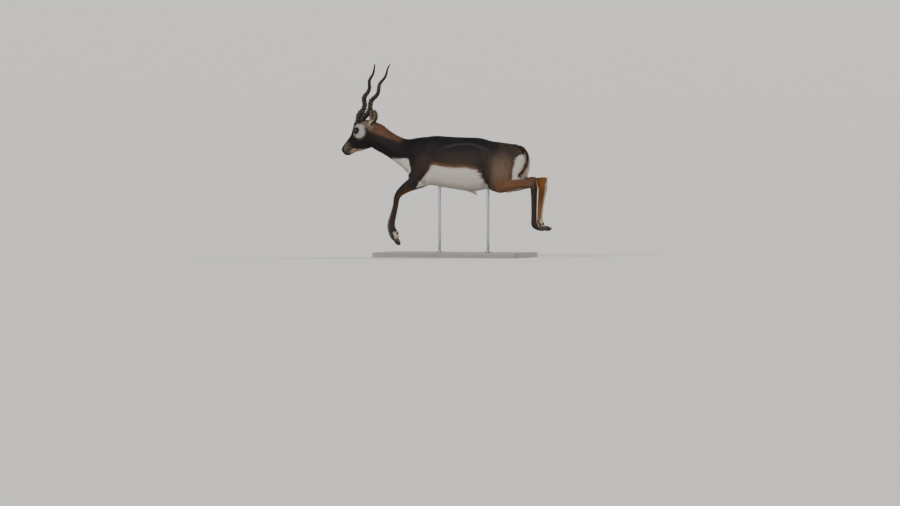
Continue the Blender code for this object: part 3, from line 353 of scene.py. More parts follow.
def followLine(points, knots, reference):
    places = np.array([knot[:3] for knot in knots])
    steps = np.diff(places, axis=0)
    lengths = np.linalg.norm(steps, axis=1)
    straight = steps / lengths[:, None]
    bends = np.vstack([straight[:1], straight[:-1] + straight[1:], straight[-1:]])
    bends /= np.linalg.norm(bends, axis=1)[:, None]
    reached = np.concatenate([[0], np.cumsum(lengths)])
    radii = np.array([knot[3] for knot in knots])
    hairs = np.array([knot[4] for knot in knots])
    found = {"score": np.full(len(points), 9.0), "along": np.zeros(len(points)), "hair": np.zeros(len(points)), "tangent": np.zeros((len(points), 3)), "foot": np.zeros((len(points), 3))}
    for index, (start, step, length) in enumerate(zip(places, steps, lengths)):
        t = np.clip((points - start) @ step / length ** 2, 0, 1)
        foot = start + t[:, None] * step
        score = np.linalg.norm(points - foot, axis=1) - (radii[index] * (1 - t) + radii[index + 1] * t)
        better = score < found["score"]
        found["score"][better] = score[better]
        found["along"][better] = (reached[index] + t * length)[better]
        found["hair"][better] = (hairs[index] * (1 - t) + hairs[index + 1] * t)[better]
        found["tangent"][better] = (bends[index] * (1 - t)[:, None] + bends[index + 1] * t[:, None])[better]
        found["foot"][better] = foot[better]
    tangent = found["tangent"] / np.linalg.norm(found["tangent"], axis=1)[:, None]
    across = np.cross(tangent, np.array(reference))
    across /= np.linalg.norm(across, axis=1)[:, None] + 1e-9
    over = np.cross(across, tangent)
    away = points - found["foot"]
    found["angle"] = np.arctan2((away * across).sum(1), (away * over).sum(1))
    found["tangent"] = tangent
    return found


def references(name):
    return (-1.0, 0.0, 0.0) if name.startswith(("fore", "hind", "tail")) else (0.0, 0.0, 1.0)


# ---- ears: fine leaves with open cups, joined to the skin at their stalks

earLean = {"left": (0.22, -0.26, 0.86), "right": (-0.10, 0.52, 0.78)}  # the left ear lies back, the right one out
earSizes = {"length": 0.102, "halfWidth": 0.024, "wall": 0.0019, "levels": 46, "around": 44}


def earMesh(label, side):
    root = onHead(-0.041, 0.028, 0.038 * side)
    lean = Vector(earLean[label]).normalized()
    opening = Vector((-0.42, 0.86 * side, -0.30))
    opening = (opening - lean * opening.dot(lean)).normalized()
    across = lean.cross(opening).normalized()
    profile = np.array(((-0.16, 0.30, 0.30, 0.0), (0.04, 0.40, 0.40, 0.0), (0.14, 0.54, 0.45, 0.25), (0.26, 0.80, 0.43, 0.80), (0.42, 0.96, 0.36, 1.0), (0.60, 0.93, 0.30, 1.0), (0.76, 0.74, 0.24, 0.95), (0.90, 0.42, 0.15, 0.7), (0.985, 0.10, 0.06, 0.2)))
    levels, around = earSizes["levels"], earSizes["around"]
    rings = []
    for level in range(levels):
        t = -0.16 + 1.145 * level / (levels - 1)
        wide, deep, hollow = (np.interp(t, profile[:, 0], profile[:, column]) for column in (1, 2, 3))
        centre = root + lean * earSizes["length"] * t - opening * earSizes["length"] * 0.10 * math.sin(math.pi * max(t, 0))
        half, back = earSizes["halfWidth"] * wide, earSizes["halfWidth"] * deep
        inner = max(1 - earSizes["wall"] / back, 0.3)
        ring = []
        for step in range(around):  # round the back, then through the cup
            angle = math.pi * step / (around - 1)
            ring.append(centre + across * math.cos(angle) * half - opening * math.sin(angle) * back)
        for step in range(1, around - 1):
            x = -1 + 2 * step / (around - 1)
            ridge = 0.0011 * math.cos(x * 11.0) * smooth(0.25, 0.5, t) * smooth(0.95, 0.75, t)
            cup = -math.sqrt(1 - x * x) * back * inner
            flat = math.sqrt(1 - x * x) * back * 0.9
            lift = flat + (cup - flat) * smooth(0.05, 0.30, t) * min(hollow, 1) ** 0.4 + ridge
            ring.append(centre + across * x * half * 0.97 + opening * max(lift, cup))
        rings.append(ring)
    return meshOfRings("ear", rings)


# ---- one skin over the whole animal

skinSizes = {"voxel": 0.0022, "grow": 0.0004, "rounds": 12, "faces": 63000, "sharp": math.radians(68)}
fleshNodes = ["head", "neck", "torso", "tail"]
for label in sides:
    fleshNodes += [f"foreleg_{label}_upper", f"foreleg_{label}_lower"]
    fleshNodes += [f"hindleg_{label}_thigh", f"hindleg_{label}_shank", f"hindleg_{label}_cannon"]

headStations = (  # along, upper edge, lower edge, half width, widest level: fills the solids' mouth and nostrils
    (0.2165, 0.011, -0.021, 0.013, -0.004),
    (0.2090, 0.020, -0.034, 0.0215, -0.006),
    (0.1950, 0.0275, -0.0435, 0.0265, -0.006),
    (0.1720, 0.034, -0.0490, 0.0280, -0.006),
    (0.1450, 0.0405, -0.0540, 0.0285, -0.004),
    (0.1200, 0.048, -0.0660, 0.0315, -0.002),
    (0.1000, 0.0555, -0.0740, 0.0365, 0.002),
    (0.0800, 0.068, -0.0810, 0.0425, 0.008),
)


def skullFiller():
    rings = []
    for along, top, bottom, halfWidth, widest in headStations:
        ring = []
        for step in range(32):
            angle = math.tau * step / 32
            reach = (top - widest if math.sin(angle) > 0 else widest - bottom) - 0.0012
            power = 2 / (2.2 if math.sin(angle) > 0 else 1.75)
            out = math.copysign(abs(math.cos(angle)) ** power, math.cos(angle)) * (halfWidth - 0.0012)
            over = math.copysign(abs(math.sin(angle)) ** power, math.sin(angle)) * reach
            ring.append(onHead(along - 0.001, widest + over, out))
        rings.append(ring)
    return meshOfRings("filler", rings)


def roundedNode(name):
    shape = bmesh.new()
    shape.from_mesh(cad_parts[name].data)
    bmesh.ops.remove_doubles(shape, verts=shape.verts, dist=2e-5)
    crease = shape.edges.layers.float.new("crease_edge")
    for edge in shape.edges:
        if len(edge.link_faces) != 2 or edge.calc_face_angle(0) > skinSizes["sharp"]:
            edge[crease] = 1.0
    mesh = bpy.data.meshes.new(name)
    shape.to_mesh(mesh)
    shape.free()
    piece = addObject("rounded", mesh)
    step = piece.modifiers.new("subdivide", "SUBSURF")
    step.levels = step.render_levels = 2
    bakeModifiers(piece)
    grown = vertexArray(piece.data) + normalArray(piece.data) * skinSizes["grow"]
    placeVertices(piece.data, grown)
    return piece


def joinMeshes(name, meshes):
    shape = bmesh.new()
    for mesh in meshes:
        shape.from_mesh(mesh)
    joined = bpy.data.meshes.new(name)
    shape.to_mesh(joined)
    shape.free()
    return joined


def makeSkinForm():
    pieces = [roundedNode(name) for name in fleshNodes]
    filler = skullFiller()
    form = addObject("skin", joinMeshes("skin", [piece.data for piece in pieces] + [filler]))
    for piece in pieces:
        dropObject(piece)
    bpy.data.meshes.remove(filler)
    step = form.modifiers.new("remesh", "REMESH")
    step.mode = "VOXEL"
    step.voxel_size = skinSizes["voxel"]
    bakeModifiers(form)
    print("skin remeshed", len(form.data.polygons))
    places = vertexArray(form.data)
    bulk = smooth(0.42, 0.52, places[:, 2]) * smooth(-0.56, -0.48, places[:, 0]) * smooth(0.455, 0.43, places[:, 0])
    group = form.vertex_groups.new(name="bulk")
    level = np.round(bulk * 8).astype(int)
    for weight in range(1, 9):
        group.add(np.nonzero(level == weight)[0].tolist(), weight / 8, "REPLACE")
    for name, rounds in (("", skinSizes["rounds"]), ("bulk", skinSizes["rounds"] * 3)):
        step = form.modifiers.new("smooth", "SMOOTH")
        step.factor = 0.5
        step.iterations = rounds
        step.vertex_group = name
    step = form.modifiers.new("thin", "DECIMATE")
    step.ratio = skinSizes["faces"] / (2 * len(form.data.polygons))
    bakeModifiers(form)
    print("skin thinned", len(form.data.polygons))
    return form


def refineHead(form):
    shape = bmesh.new()
    shape.from_mesh(form.data)
    origin, forward = headPlace["origin"], headForward
    for reach, longest in ((0.005, 0.0030), (0.030, 0.0027)):  # the face finer, and finer again where its features are
        near = [edge for edge in shape.edges if all((v.co - origin).dot(forward) > reach for v in edge.verts)]
        near = [edge for edge in near if edge.calc_length() > longest]
        bmesh.ops.subdivide_edges(shape, edges=near, cuts=1, use_grid_fill=True, smooth=0.6)
        bmesh.ops.triangulate(shape, faces=[face for face in shape.faces if len(face.verts) > 4])
    bmesh.ops.dissolve_degenerate(shape, edges=shape.edges, dist=1e-6)
    shape.to_mesh(form.data)
    shape.free()
    form.data.validate()


skin = makeSkinForm()
refineHead(skin)
print("skin refined", len(skin.data.polygons))


# ---- the face: mouth, nostrils, slits before the eyes, cheeks

faceShape = {
    "mouth": ((0.126, -0.0235, 0.030), (0.138, -0.0215, 0.030), (0.160, -0.0190, 0.0295), (0.185, -0.0180, 0.028), (0.203, -0.0200, 0.0245), (0.222, -0.0215, 0.0)),
    "nostril": ((0.2150, 0.0060, 0.0080), (0.2080, 0.0080, 0.0125), (0.1980, 0.0105, 0.0185), (0.1880, 0.0160, 0.0250)),
    "slit": ((0.0820, 0.0265, 0.044), (0.0980, 0.0190, 0.041)),
}


def nearPath(points, path):
    best = np.full(len(points), 9.0)
    for start, end in zip(path, path[1:]):
        start, end = np.array(start), np.array(end)
        step = end - start
        t = np.clip((points - start) @ step / (step @ step), 0, 1)
        best = np.minimum(best, np.linalg.norm(points - start - t[:, None] * step, axis=1))
    return best


def hump(distance, width):
    return np.exp(-(distance / width) ** 2)


def inHeadAxes(places):
    away = places - np.array(headPlace["origin"])
    return np.stack([away @ np.array(headForward), away @ np.array(headUp), away[:, 1]], axis=1)


eyeFrame = np.array(((0.2889, 0.1156, 0.9503), (0.9267, -0.2824, -0.2474), (0.2398, 0.9523, -0.1888)))  # out of the eye, along it, over it


def eyePlane(folded):
    away = (folded - np.array(headPlace["eyeCentre"])) @ eyeFrame.T
    return away[:, 0], away[:, 1], away[:, 2]


def darkLids(folded):
    outWay, longWay, highWay = eyePlane(folded)
    reach = np.sqrt((longWay / np.where(longWay > 0, 0.0225, 0.0240)) ** 2 + (highWay / np.where(highWay > 0, 0.0195, 0.0180)) ** 2)
    return reach + (outWay < 0) * 9


def carveFace(mesh):
    places, normals = vertexArray(mesh), normalArray(mesh)
    local = inHeadAxes(places)
    onFace = local[:, 0] > -0.02
    folded = local.copy()
    folded[:, 2] = np.abs(folded[:, 2])
    lift = np.zeros(len(places))
    mouth = np.array(faceShape["mouth"])
    mouthLevel = np.interp(local[:, 0], mouth[:, 0], mouth[:, 1])
    lips = smooth(0.124, 0.136, local[:, 0])
    below = local[:, 1] - mouthLevel
    lift += lips * (-0.0019 * hump(below, 0.0011) + 0.0007 * hump(below - 0.0042, 0.0028) + 0.0009 * hump(below + 0.0042, 0.0030))
    nostril = nearPath(folded, faceShape["nostril"])
    lift += -0.0060 * hump(nostril, 0.0023) + 0.0011 * hump(nostril - 0.0052, 0.0020) * smooth(0.175, 0.19, local[:, 0])
    slit = nearPath(folded, faceShape["slit"])
    lift += -0.0032 * hump(slit, 0.0019) + 0.0010 * hump(slit - 0.0042, 0.0019)
    lift += -0.0007 * hump(local[:, 2], 0.0018) * smooth(0.203, 0.212, local[:, 0]) * smooth(-0.02, -0.012, local[:, 1])  # groove of the nose pad
    cheek = nearPath(folded, ((0.060, 0.006, 0.045), (0.020, 0.004, 0.048), (-0.010, 0.010, 0.046)))
    lift += 0.0022 * hump(cheek, 0.010)
    lift += -0.0026 * hump(nearPath(folded, ((0.078, -0.012, 0.040), (0.105, -0.020, 0.035))), 0.013)
    lift += 0.0012 * hump(nearPath(folded, ((0.040, -0.052, 0.036), (0.015, -0.044, 0.042), (0.000, -0.020, 0.046))), 0.012)
    browLine = nearPath(folded, ((0.088, 0.050, 0.016), (0.064, 0.074, 0.020), (0.042, 0.086, 0.020)))
    lift += 0.0040 * hump(browLine, 0.016)
    around = darkLids(folded)
    over = smooth(-0.2, 0.5, eyePlane(folded)[2] / 0.016)
    lift += (-0.0017 * hump((around - 1.34) * 0.018, 0.0015) + 0.0012 * hump((around - 1.20) * 0.018, 0.0018)) * over
    lift += -0.0010 * hump((around - 1.30) * 0.018, 0.0018) * (1 - over) * (around < 5)
    places += normals * (lift * onFace)[:, None]
    placeVertices(mesh, places)


carveFace(skin.data)

bodyRelief = (  # height, width, then x and z along a ridge or groove seen from the side, and how far out it starts
    (0.0040, 0.022, ((-0.285, 0.690), (-0.235, 0.640), (-0.205, 0.580)), 0.05),  # shoulder blade
    (-0.0045, 0.017, ((-0.150, 0.665), (-0.128, 0.600), (-0.165, 0.510)), 0.07),  # behind the shoulder
    (-0.0030, 0.014, ((-0.300, 0.600), (-0.270, 0.545), (-0.250, 0.505)), 0.05),  # before the upper arm
    (-0.0055, 0.020, ((0.205, 0.635), (0.225, 0.560), (0.235, 0.480)), 0.07),  # fold before the thigh
    (0.0045, 0.020, ((0.255, 0.676), (0.270, 0.668)), 0.05),  # hip
    (-0.0030, 0.016, ((0.330, 0.640), (0.375, 0.590), (0.385, 0.520)), 0.06),  # between the thigh's muscles
    (0.0030, 0.020, ((0.300, 0.600), (0.320, 0.520), (0.330, 0.480)), 0.06),
    (-0.0028, 0.013, ((-0.520, 0.705), (-0.430, 0.650), (-0.350, 0.615)), 0.02),  # groove of the throat
    (-0.0026, 0.012, ((0.440, 0.474), (0.505, 0.474)), 0.05),  # hollow before the hock's sinew
)


def carveBody(mesh):
    places, normals = vertexArray(mesh), normalArray(mesh)
    flat = places * (1, 0, 1)
    out = np.abs(places[:, 1])
    sideways = smooth(0.3, 0.7, np.abs(normals[:, 1]))
    lift = np.zeros(len(places))
    for height, width, path, start in bodyRelief:
        gap = nearPath(flat, [(x, 0, z) for x, z in path])
        lift += height * hump(gap, width) * smooth(start * 0.7, start, out) * sideways
    for rib in range(8):
        x = -0.085 + rib * 0.033
        gap = nearPath(flat, ((x - 0.020, 0, 0.690), (x, 0, 0.620), (x + 0.006, 0, 0.540)))
        lift -= 0.0011 * hump(gap, 0.0085) * smooth(0.08, 0.11, out) * sideways
    for name in ("foreLeft", "foreRight", "hindLeft", "hindRight"):
        knots = bodyLines[name][-5:-2]
        sinew = nearPath(places * (1, 0, 1), [(knot[0] + 0.003, 0, knot[2]) for knot in knots])
        mine = (np.sign(places[:, 1]) == np.sign(knots[0][1])) & (places[:, 2] < 0.37)
        lift -= 0.0014 * hump(sinew, 0.0036) * sideways * mine
    placeVertices(mesh, places + normals * lift[:, None])


carveBody(skin.data)


def eyeAxes(side):
    outward = (headForward * 0.30 + headUp * 0.12 + Vector((0, side, 0))).normalized()
    slant = headForward * 0.96 - headUp * 0.28
    longAxis = (slant - outward * slant.dot(outward)).normalized()
    highAxis = outward.cross(longAxis).normalized()
    if highAxis.dot(headUp) < 0:
        highAxis.negate()
    return longAxis, highAxis, outward


def eyeCentre(side):
    along, above, out = headPlace["eyeCentre"]
    return onHead(along, above, out * side)


def lidLoop(side, reach, widen, points):
    longAxis, highAxis, outward = eyeAxes(side)
    halfLong, halfHigh = headPlace["eyeOpening"]
    lift = outward * math.sqrt(headPlace["eyeRadius"] ** 2 - halfLong ** 2)
    loop = []
    for index in range(points):
        angle = math.tau * index / points
        pinch = 1 - 0.30 * abs(math.cos(angle)) ** 3
        reachOut = 1 + 0.20 * max(math.cos(angle), 0) ** 7  # the corner towards the nose runs out to a point
        direction = longAxis * math.cos(angle) * halfLong * widen * reachOut + highAxis * math.sin(angle) * halfHigh * widen * pinch + lift
        loop.append(eyeCentre(side) + direction.normalized() * reach)
    return loop


lidSizes = {"points": 96, "section": 20, "thick": 0.0017, "upper": 0.55}


def lidMesh(side):
    centre, highAxis = eyeCentre(side), eyeAxes(side)[1]
    path = lidLoop(side, headPlace["eyeRadius"] + 0.0007, 1.08, lidSizes["points"])
    rings = []
    for index, place in enumerate(path):
        along = (path[(index + 1) % len(path)] - path[index - 1]).normalized()
        outward = (place - centre).normalized()
        across = along.cross(outward).normalized()
        lifted = max((place - centre).dot(highAxis), 0) / headPlace["eyeRadius"]
        thick = lidSizes["thick"] * (0.9 + lidSizes["upper"] * lifted)
        wrinkle = 1 + 0.05 * math.sin(index * 1.7) + 0.04 * math.sin(index * 0.61)
        ring = []
        for step in range(lidSizes["section"]):
            angle = math.tau * step / lidSizes["section"]
            ring.append(place + across * math.cos(angle) * thick * 1.25 + outward * math.sin(angle) * thick * 0.75 * wrinkle)
        rings.append(ring)
    return meshOfRings("lid", rings, closed=True)


lashSizes = {"count": 40, "length": 0.0085, "thick": 0.00026, "levels": 4}


def lashMesh():
    verts, faces = [], []
    for side in (-1, 1):
        longAxis, highAxis, outward = eyeAxes(side)
        path = lidLoop(side, headPlace["eyeRadius"] + 0.0016, 1.10, 240)
        for index in range(lashSizes["count"]):
            part = (index + 0.5) / lashSizes["count"]
            root = path[int(240 * (0.045 + 0.42 * part))]
            grown = lashSizes["length"] * (0.6 + 0.4 * math.sin(math.pi * part)) * (0.85 + 0.3 * ((index * 7) % 5) / 5)
            sweep = longAxis * (0.5 - part) * 0.9 + highAxis * 0.25 + outward * 0.9
            for level in range(lashSizes["levels"]):
                t = level / (lashSizes["levels"] - 1)
                spot = root + sweep.normalized() * grown * t + highAxis * grown * 0.30 * t * t - outward * grown * 0.18 * t * t
                width = lashSizes["thick"] * (1 - 0.85 * t)
                for corner in range(3):
                    angle = math.tau * corner / 3
                    verts.append(tuple(spot + longAxis * math.cos(angle) * width + highAxis * math.sin(angle) * width))
            first = len(verts) - 3 * lashSizes["levels"]
            for level in range(lashSizes["levels"] - 1):
                for corner in range(3):
                    low, beside = first + level * 3 + corner, first + level * 3 + (corner + 1) % 3
                    faces.append((low, beside, beside + 3, low + 3))
            faces += [(first + 2, first + 1, first), tuple(len(verts) - 3 + corner for corner in range(3))]
    mesh = bpy.data.meshes.new("lashes")
    mesh.from_pydata(verts, [], faces)
    mesh.materials.append(materials["bare"])
    smoothShade(mesh)
    return mesh


def skinFields(places, normals):
    fields = [followLine(places, bodyLines[name], references(name)) for name in lineNames]
    scores = np.stack([field["score"] - (0.006 if name == "tail" else 0) for name, field in zip(lineNames, fields)])
    nearest = scores.argmin(0)
    weights = np.exp(-(scores - scores.min(0)) / 0.010)
    weights /= weights.sum(0)
    hair = sum(weight * field["hair"] for weight, field in zip(weights, fields))
    lie = sum(weight[:, None] * field["tangent"] for weight, field in zip(weights, fields))
    trunkLike = weights[lineNames.index("trunk")] + weights[lineNames.index("neck")]
    lie[:, 2] -= 0.30 * trunkLike * np.clip(normals[:, 2] + 0.6, 0, 1) * np.clip(1 - normals[:, 2], 0, 1)
    return fields, nearest, weights, hair, lie


# ---- markings, worked out from place and facing

tones = {
    "black": (0.0150, 0.0132, 0.0152),
    "ink": (0.0100, 0.0090, 0.0100),
    "brown": (0.0500, 0.0340, 0.0270),
    # thigh: the haunch's grey-brown, partly the coat's own colour, partly painted light where light falls on it
    "thigh": (0.1700, 0.1150, 0.0820),
    "rust": (0.1800, 0.0820, 0.0380),
    # painted warm rim light: the orange that backlight gives the tail's rear and the hind legs' pale inner faces
    "rimLitAmber": (0.2500, 0.0900, 0.0220),
    "nape": (0.1360, 0.0660, 0.0370),
    "white": (0.6300, 0.5900, 0.5450),
    "cream": (0.5200, 0.4300, 0.3200),
    "tan": (0.3600, 0.2550, 0.1850),
    "fawn": (0.2250, 0.1760, 0.1300),
    "ear": (0.1150, 0.0870, 0.0630),
    "muzzle": (0.1150, 0.0980, 0.0800),
}
bellyEdge = ((-0.245, 0.395), (-0.2302, 0.4185), (-0.170, 0.505), (-0.118, 0.578), (-0.075, 0.566), (0.006, 0.555), (0.088, 0.556), (0.150, 0.548), (0.185, 0.520), (0.208, 0.465), (0.232, 0.425), (0.260, 0.400))
rumpEdge = ((0.470, 0.400), (0.488, 0.402), (0.5307, 0.404), (0.574, 0.412), (0.610, 0.419), (0.626, 0.425), (0.637, 0.435), (0.646, 0.450))  # z, x
jawEdge = ((-0.700, 0.668), (-0.673, 0.681), (-0.637, 0.668), (-0.577, 0.674))  # x, z
napeEdge = ((-0.600, 0.790), (-0.5608, 0.775), (-0.5086, 0.766), (-0.4434, 0.746), (-0.3457, 0.712), (-0.320, 0.712))
# painted sheen: the line of a pale streak along the upper flank, where light glances off the coat
paintedSheenStreak = ((-0.100, 0.0, 0.664), (-0.045, 0.0, 0.684), (0.022, 0.0, 0.699), (0.098, 0.0, 0.706), (0.142, 0.0, 0.700), (0.197, 0.0, 0.680), (0.240, 0.0, 0.660))


def wobble(places, scale, seed=0.0):
    x, y, z = (places * scale).T
    return (np.sin(x * 1.3 + z * 2.1 + seed) + np.sin(y * 2.3 - x * 1.7 + 1.3 + seed) + np.sin(z * 3.1 + y * 1.1 + 2.2 + seed) + np.sin(x * 4.7 + y * 3.9 - z * 2.9 + seed)) / 4


def edgeAt(places, edge):
    return np.interp(places, [point[0] for point in edge], [point[1] for point in edge])


def bodyTones(tone, places, normals, share, ragged, tailGap):
    x, y, z = places.T
    out = np.abs(y)
    flat = np.stack([x, np.zeros(len(x)), z], axis=1)
    tone = blendTones(tone, tones["brown"], smooth(-0.20, 0.00, x + ragged * 6) * smooth(0.70, 0.60, z) * 0.85)
    tone = blendTones(tone, tones["rust"], hump(np.hypot((x + 0.18) / 0.05, (z - 0.555) / 0.07), 1.0) * smooth(0.04, 0.08, out) * 0.24)
    tone = blendTones(tone, np.array(tones["ink"]) * (1.2, 0.9, 0.8), share["neck"] * 0.5)
    haunch = np.hypot((x - 0.335) / 0.115, (z - 0.545) / 0.120)
    # the haunch's lighter centre: partly the coat's own grey-brown, partly painted light where light falls on the
    # haunch
    tone = blendTones(tone, tones["thigh"], smooth(1.15, 0.15, haunch + ragged * 4) * 0.95)
    tone = blendTones(tone, tones["rust"], smooth(0.25, 0.34, x) * smooth(0.53, 0.455, z) * 0.80)
    tone = blendTones(tone, tones["rust"], smooth(0.31, 0.40, x) * smooth(0.60, 0.52, z) * 0.45)
    # the upper haunch a little lighter: partly coat colour, partly painted light
    tone = blendTones(tone, tones["thigh"], smooth(0.27, 0.34, x) * smooth(0.58, 0.66, z) * 0.22)
    tone = blendTones(tone, tones["black"], hump(np.hypot((x - 0.205) / 0.045, (z - 0.565) / 0.070), 1.0) * 0.55)
    tone = blendTones(tone, tones["brown"], smooth(0.35, 0.42, x) * smooth(0.62, 0.66, z) * 0.7)
    # painted sheen: a pale grey streak along the upper flank, on the sides only
    tone = blendTones(tone, (0.115, 0.100, 0.096), hump(nearPath(flat, paintedSheenStreak), 0.0055) * smooth(0.05, 0.08, out) * smooth(-0.12, 0.02, x) * smooth(0.27, 0.17, x) * 0.50)
    tone = blendTones(tone, tones["nape"], smooth(-0.010, 0.014, z - edgeAt(x, napeEdge) + ragged) * smooth(-0.325, -0.360, x) * smooth(-0.590, -0.550, x + ragged) * (0.55 + 0.40 * smooth(-0.545, -0.500, x)))
    edge = edgeAt(x, bellyEdge)
    body = np.clip(share["trunk"] + share["neck"] * smooth(0.60, 0.57, z), 0, 1)
    fore = np.clip(share["foreLeft"] + share["foreRight"], 0, 1)
    hind = np.clip(share["hindLeft"] + share["hindRight"], 0, 1)
    rusty = hump(edge - z + 0.010 + ragged, 0.011) * smooth(-0.16, -0.08, x) * smooth(0.24, 0.17, x) * (1 - hind * 0.7)
    tone = blendTones(tone, tones["rust"], rusty * 0.75)
    under = smooth(-0.005, 0.005, edge - z + ragged) * smooth(-0.25, -0.235, x) * smooth(0.262, 0.235, x)
    inside = smooth(0.062, 0.046, out)
    under *= 1 - fore * smooth(0.440, 0.420, z)
    under *= 1 - hind * (1 - inside) * smooth(0.18, 0.21, x)
    tone = blendTones(tone, tones["white"], under)
    shaded = hump(np.hypot((x + 0.165) / 0.030, (z - 0.470) / 0.035), 1.0) * body
    tone = blendTones(tone, tones["cream"], shaded * 0.35)
    groin = smooth(0.14, 0.20, x) * smooth(0.56, 0.53, z) * inside * smooth(0.44, 0.42, x)
    sternum = smooth(-0.30, -0.27, x) * smooth(-0.20, -0.23, x) * smooth(0.055, 0.035, out) * smooth(0.52, 0.50, z) * (1 - fore * 0.8)
    tone = blendTones(tone, tones["white"], np.maximum(groin, sternum))
    back = np.interp(z, (0.49, 0.506, 0.5425, 0.614), (-0.268, -0.2746, -0.258, -0.2856))
    chest = smooth(0.004, -0.006, x - back + ragged) * smooth(0.618, 0.608, z + ragged * 0.6) * smooth(-0.45, -0.43, x) * smooth(0.47, 0.49, z + fore * 0.01) * (1 - fore * smooth(0.50, 0.48, z))
    tone = blendTones(tone, tones["white"], chest)
    rump = smooth(-0.003, 0.004, x - edgeAt(z, rumpEdge) + ragged * 0.7) * smooth(0.480, 0.491, z + ragged) * smooth(0.654, 0.642, z) * smooth(0.500, 0.480, x) * smooth(0.003, 0.006, tailGap)
    tone = blendTones(tone, tones["brown"], hump(x - edgeAt(z, rumpEdge) + 0.010, 0.010) * smooth(0.48, 0.50, z) * smooth(0.67, 0.64, z) * 0.6)
    tone = blendTones(tone, tones["white"], rump)
    tail = smooth(0.0065, 0.0030, tailGap) * smooth(0.70, 0.67, z) * smooth(0.40, 0.42, x)
    tone = blendTones(tone, np.array(tones["rust"]) * 0.22, tail)
    # painted warm rim light on the tail's rear-facing side
    tone = blendTones(tone, tones["rimLitAmber"], tail * smooth(0.45, 0.85, normals[:, 0]) * smooth(0.62, 0.56, z) * 0.8)
    return blendTones(tone, tones["white"], tail * smooth(0.45, 0.75, -normals[:, 0]) * 0.9)


def legTones(tone, places, normals, share, fields, ragged):
    x, y, z = places.T
    for name, side in (("foreLeft", -1), ("foreRight", 1), ("hindLeft", -1), ("hindRight", 1)):
        own = share[name]
        reach = fields[lineNames.index(name)]["along"]
        inner, rear = -normals[:, 1] * side, normals[:, 0]
        front = name.startswith("fore")
        slim = smooth(0.09, 0.16, reach) if front else smooth(0.17, 0.27, reach) * (1 - smooth(0.497, 0.507, z) * smooth(0.475, 0.455, x))
        low = smooth(0.25, 0.32, reach) if front else smooth(0.285, 0.345, reach)
        lower = np.maximum(-normals[:, 2], rear)
        if front:
            dark = np.tile(tones["black"], (len(places), 1))
            dark = blendTones(dark, np.array(tones["rust"]) * 0.55, smooth(-0.10, 0.75, lower + wobble(places, 30, 4.0) * 0.25) * (1 - low * 0.35))
            dark = blendTones(dark, tones["brown"], low * 0.45)
        else:
            dark = np.tile(np.array(tones["rust"]) * 0.85, (len(places), 1))
            dark = blendTones(dark, np.array(tones["brown"]) * 0.5, smooth(0.0, 0.70, normals[:, 2]) * 0.9 * (1 - low))
            dark = blendTones(dark, tones["brown"], smooth(-0.45, -0.85, normals[:, 2]) * 0.55 * (1 - low))
            dark = blendTones(dark, np.array(tones["brown"]) * 0.55, low * 0.95)
        above = 1 - smooth(-0.003, 0.003, edgeAt(x, bellyEdge) - z + ragged) * smooth(0.420, 0.440, z) * smooth(-0.26, -0.24, x) if front else 1.0
        tone = tone + (dark - tone) * (own * slim * above)[:, None]
        paleWay = inner + wobble(places, 45, 3.0) * 0.12
        pale = smooth(0.30, 0.62, paleWay) * own * slim * above
        # on the hind legs the pale inner face is painted the orange of warm rim light
        shade = np.tile(tones["ear"] if front else tones["rimLitAmber"], (len(places), 1))
        if front:
            shade = blendTones(shade, (0.125, 0.114, 0.106), low)
        else:
            shade = blendTones(shade, tones["rust"], smooth(-0.1, 0.7, rear) * 0.75)
            shade = blendTones(shade, np.array(tones["tan"]) * 0.55, smooth(0.10, -0.55, rear) * 0.85 * low)
        tone = tone + (shade - tone) * pale[:, None]
        # painted rim highlight: a cream line along the legs' rear edges as turned to the camera, partly the pale hair
        # there, partly the rim light catching it; the upper legs' lower rear faces get a fainter share
        rimLitWay = rear * 0.951 + inner * 0.309 + wobble(places, 90, 2.0) * 0.05
        thin = smooth(0.66, 0.78, rimLitWay) * low + smooth(0.86, 0.95, -normals[:, 2] * 0.9 + rear * 0.4) * slim * (1 - low) * 0.5
        tone = blendTones(tone, tones["cream"], thin * own * above * 0.85)
        if front:
            pastern = smooth(0.470, 0.484, reach - 0.030 * (side > 0)) * smooth(0.00, 0.32, rear - inner * 0.25)
        else:
            pastern = smooth(0.546, 0.562, reach) * smooth(0.10, 0.50, rear * 0.5 + normals[:, 2] * 0.6 + inner * 0.2)
        tone = blendTones(tone, tones["cream"], pastern * own)
        foot = smooth(0.450, 0.468, reach) if front else smooth(0.548, 0.572, reach)
        tone = blendTones(tone, np.array(tones["ink"]) * 1.8, foot * own * (1 - pastern) * (0.85 - 0.60 * front * smooth(0.2, 0.6, inner)))
        innerThigh = own * (1 - slim) * smooth(0.55, 0.8, inner) * smooth(0.60, 0.54, z)
        tone = blendTones(tone, tones["white"], innerThigh)
    return tone


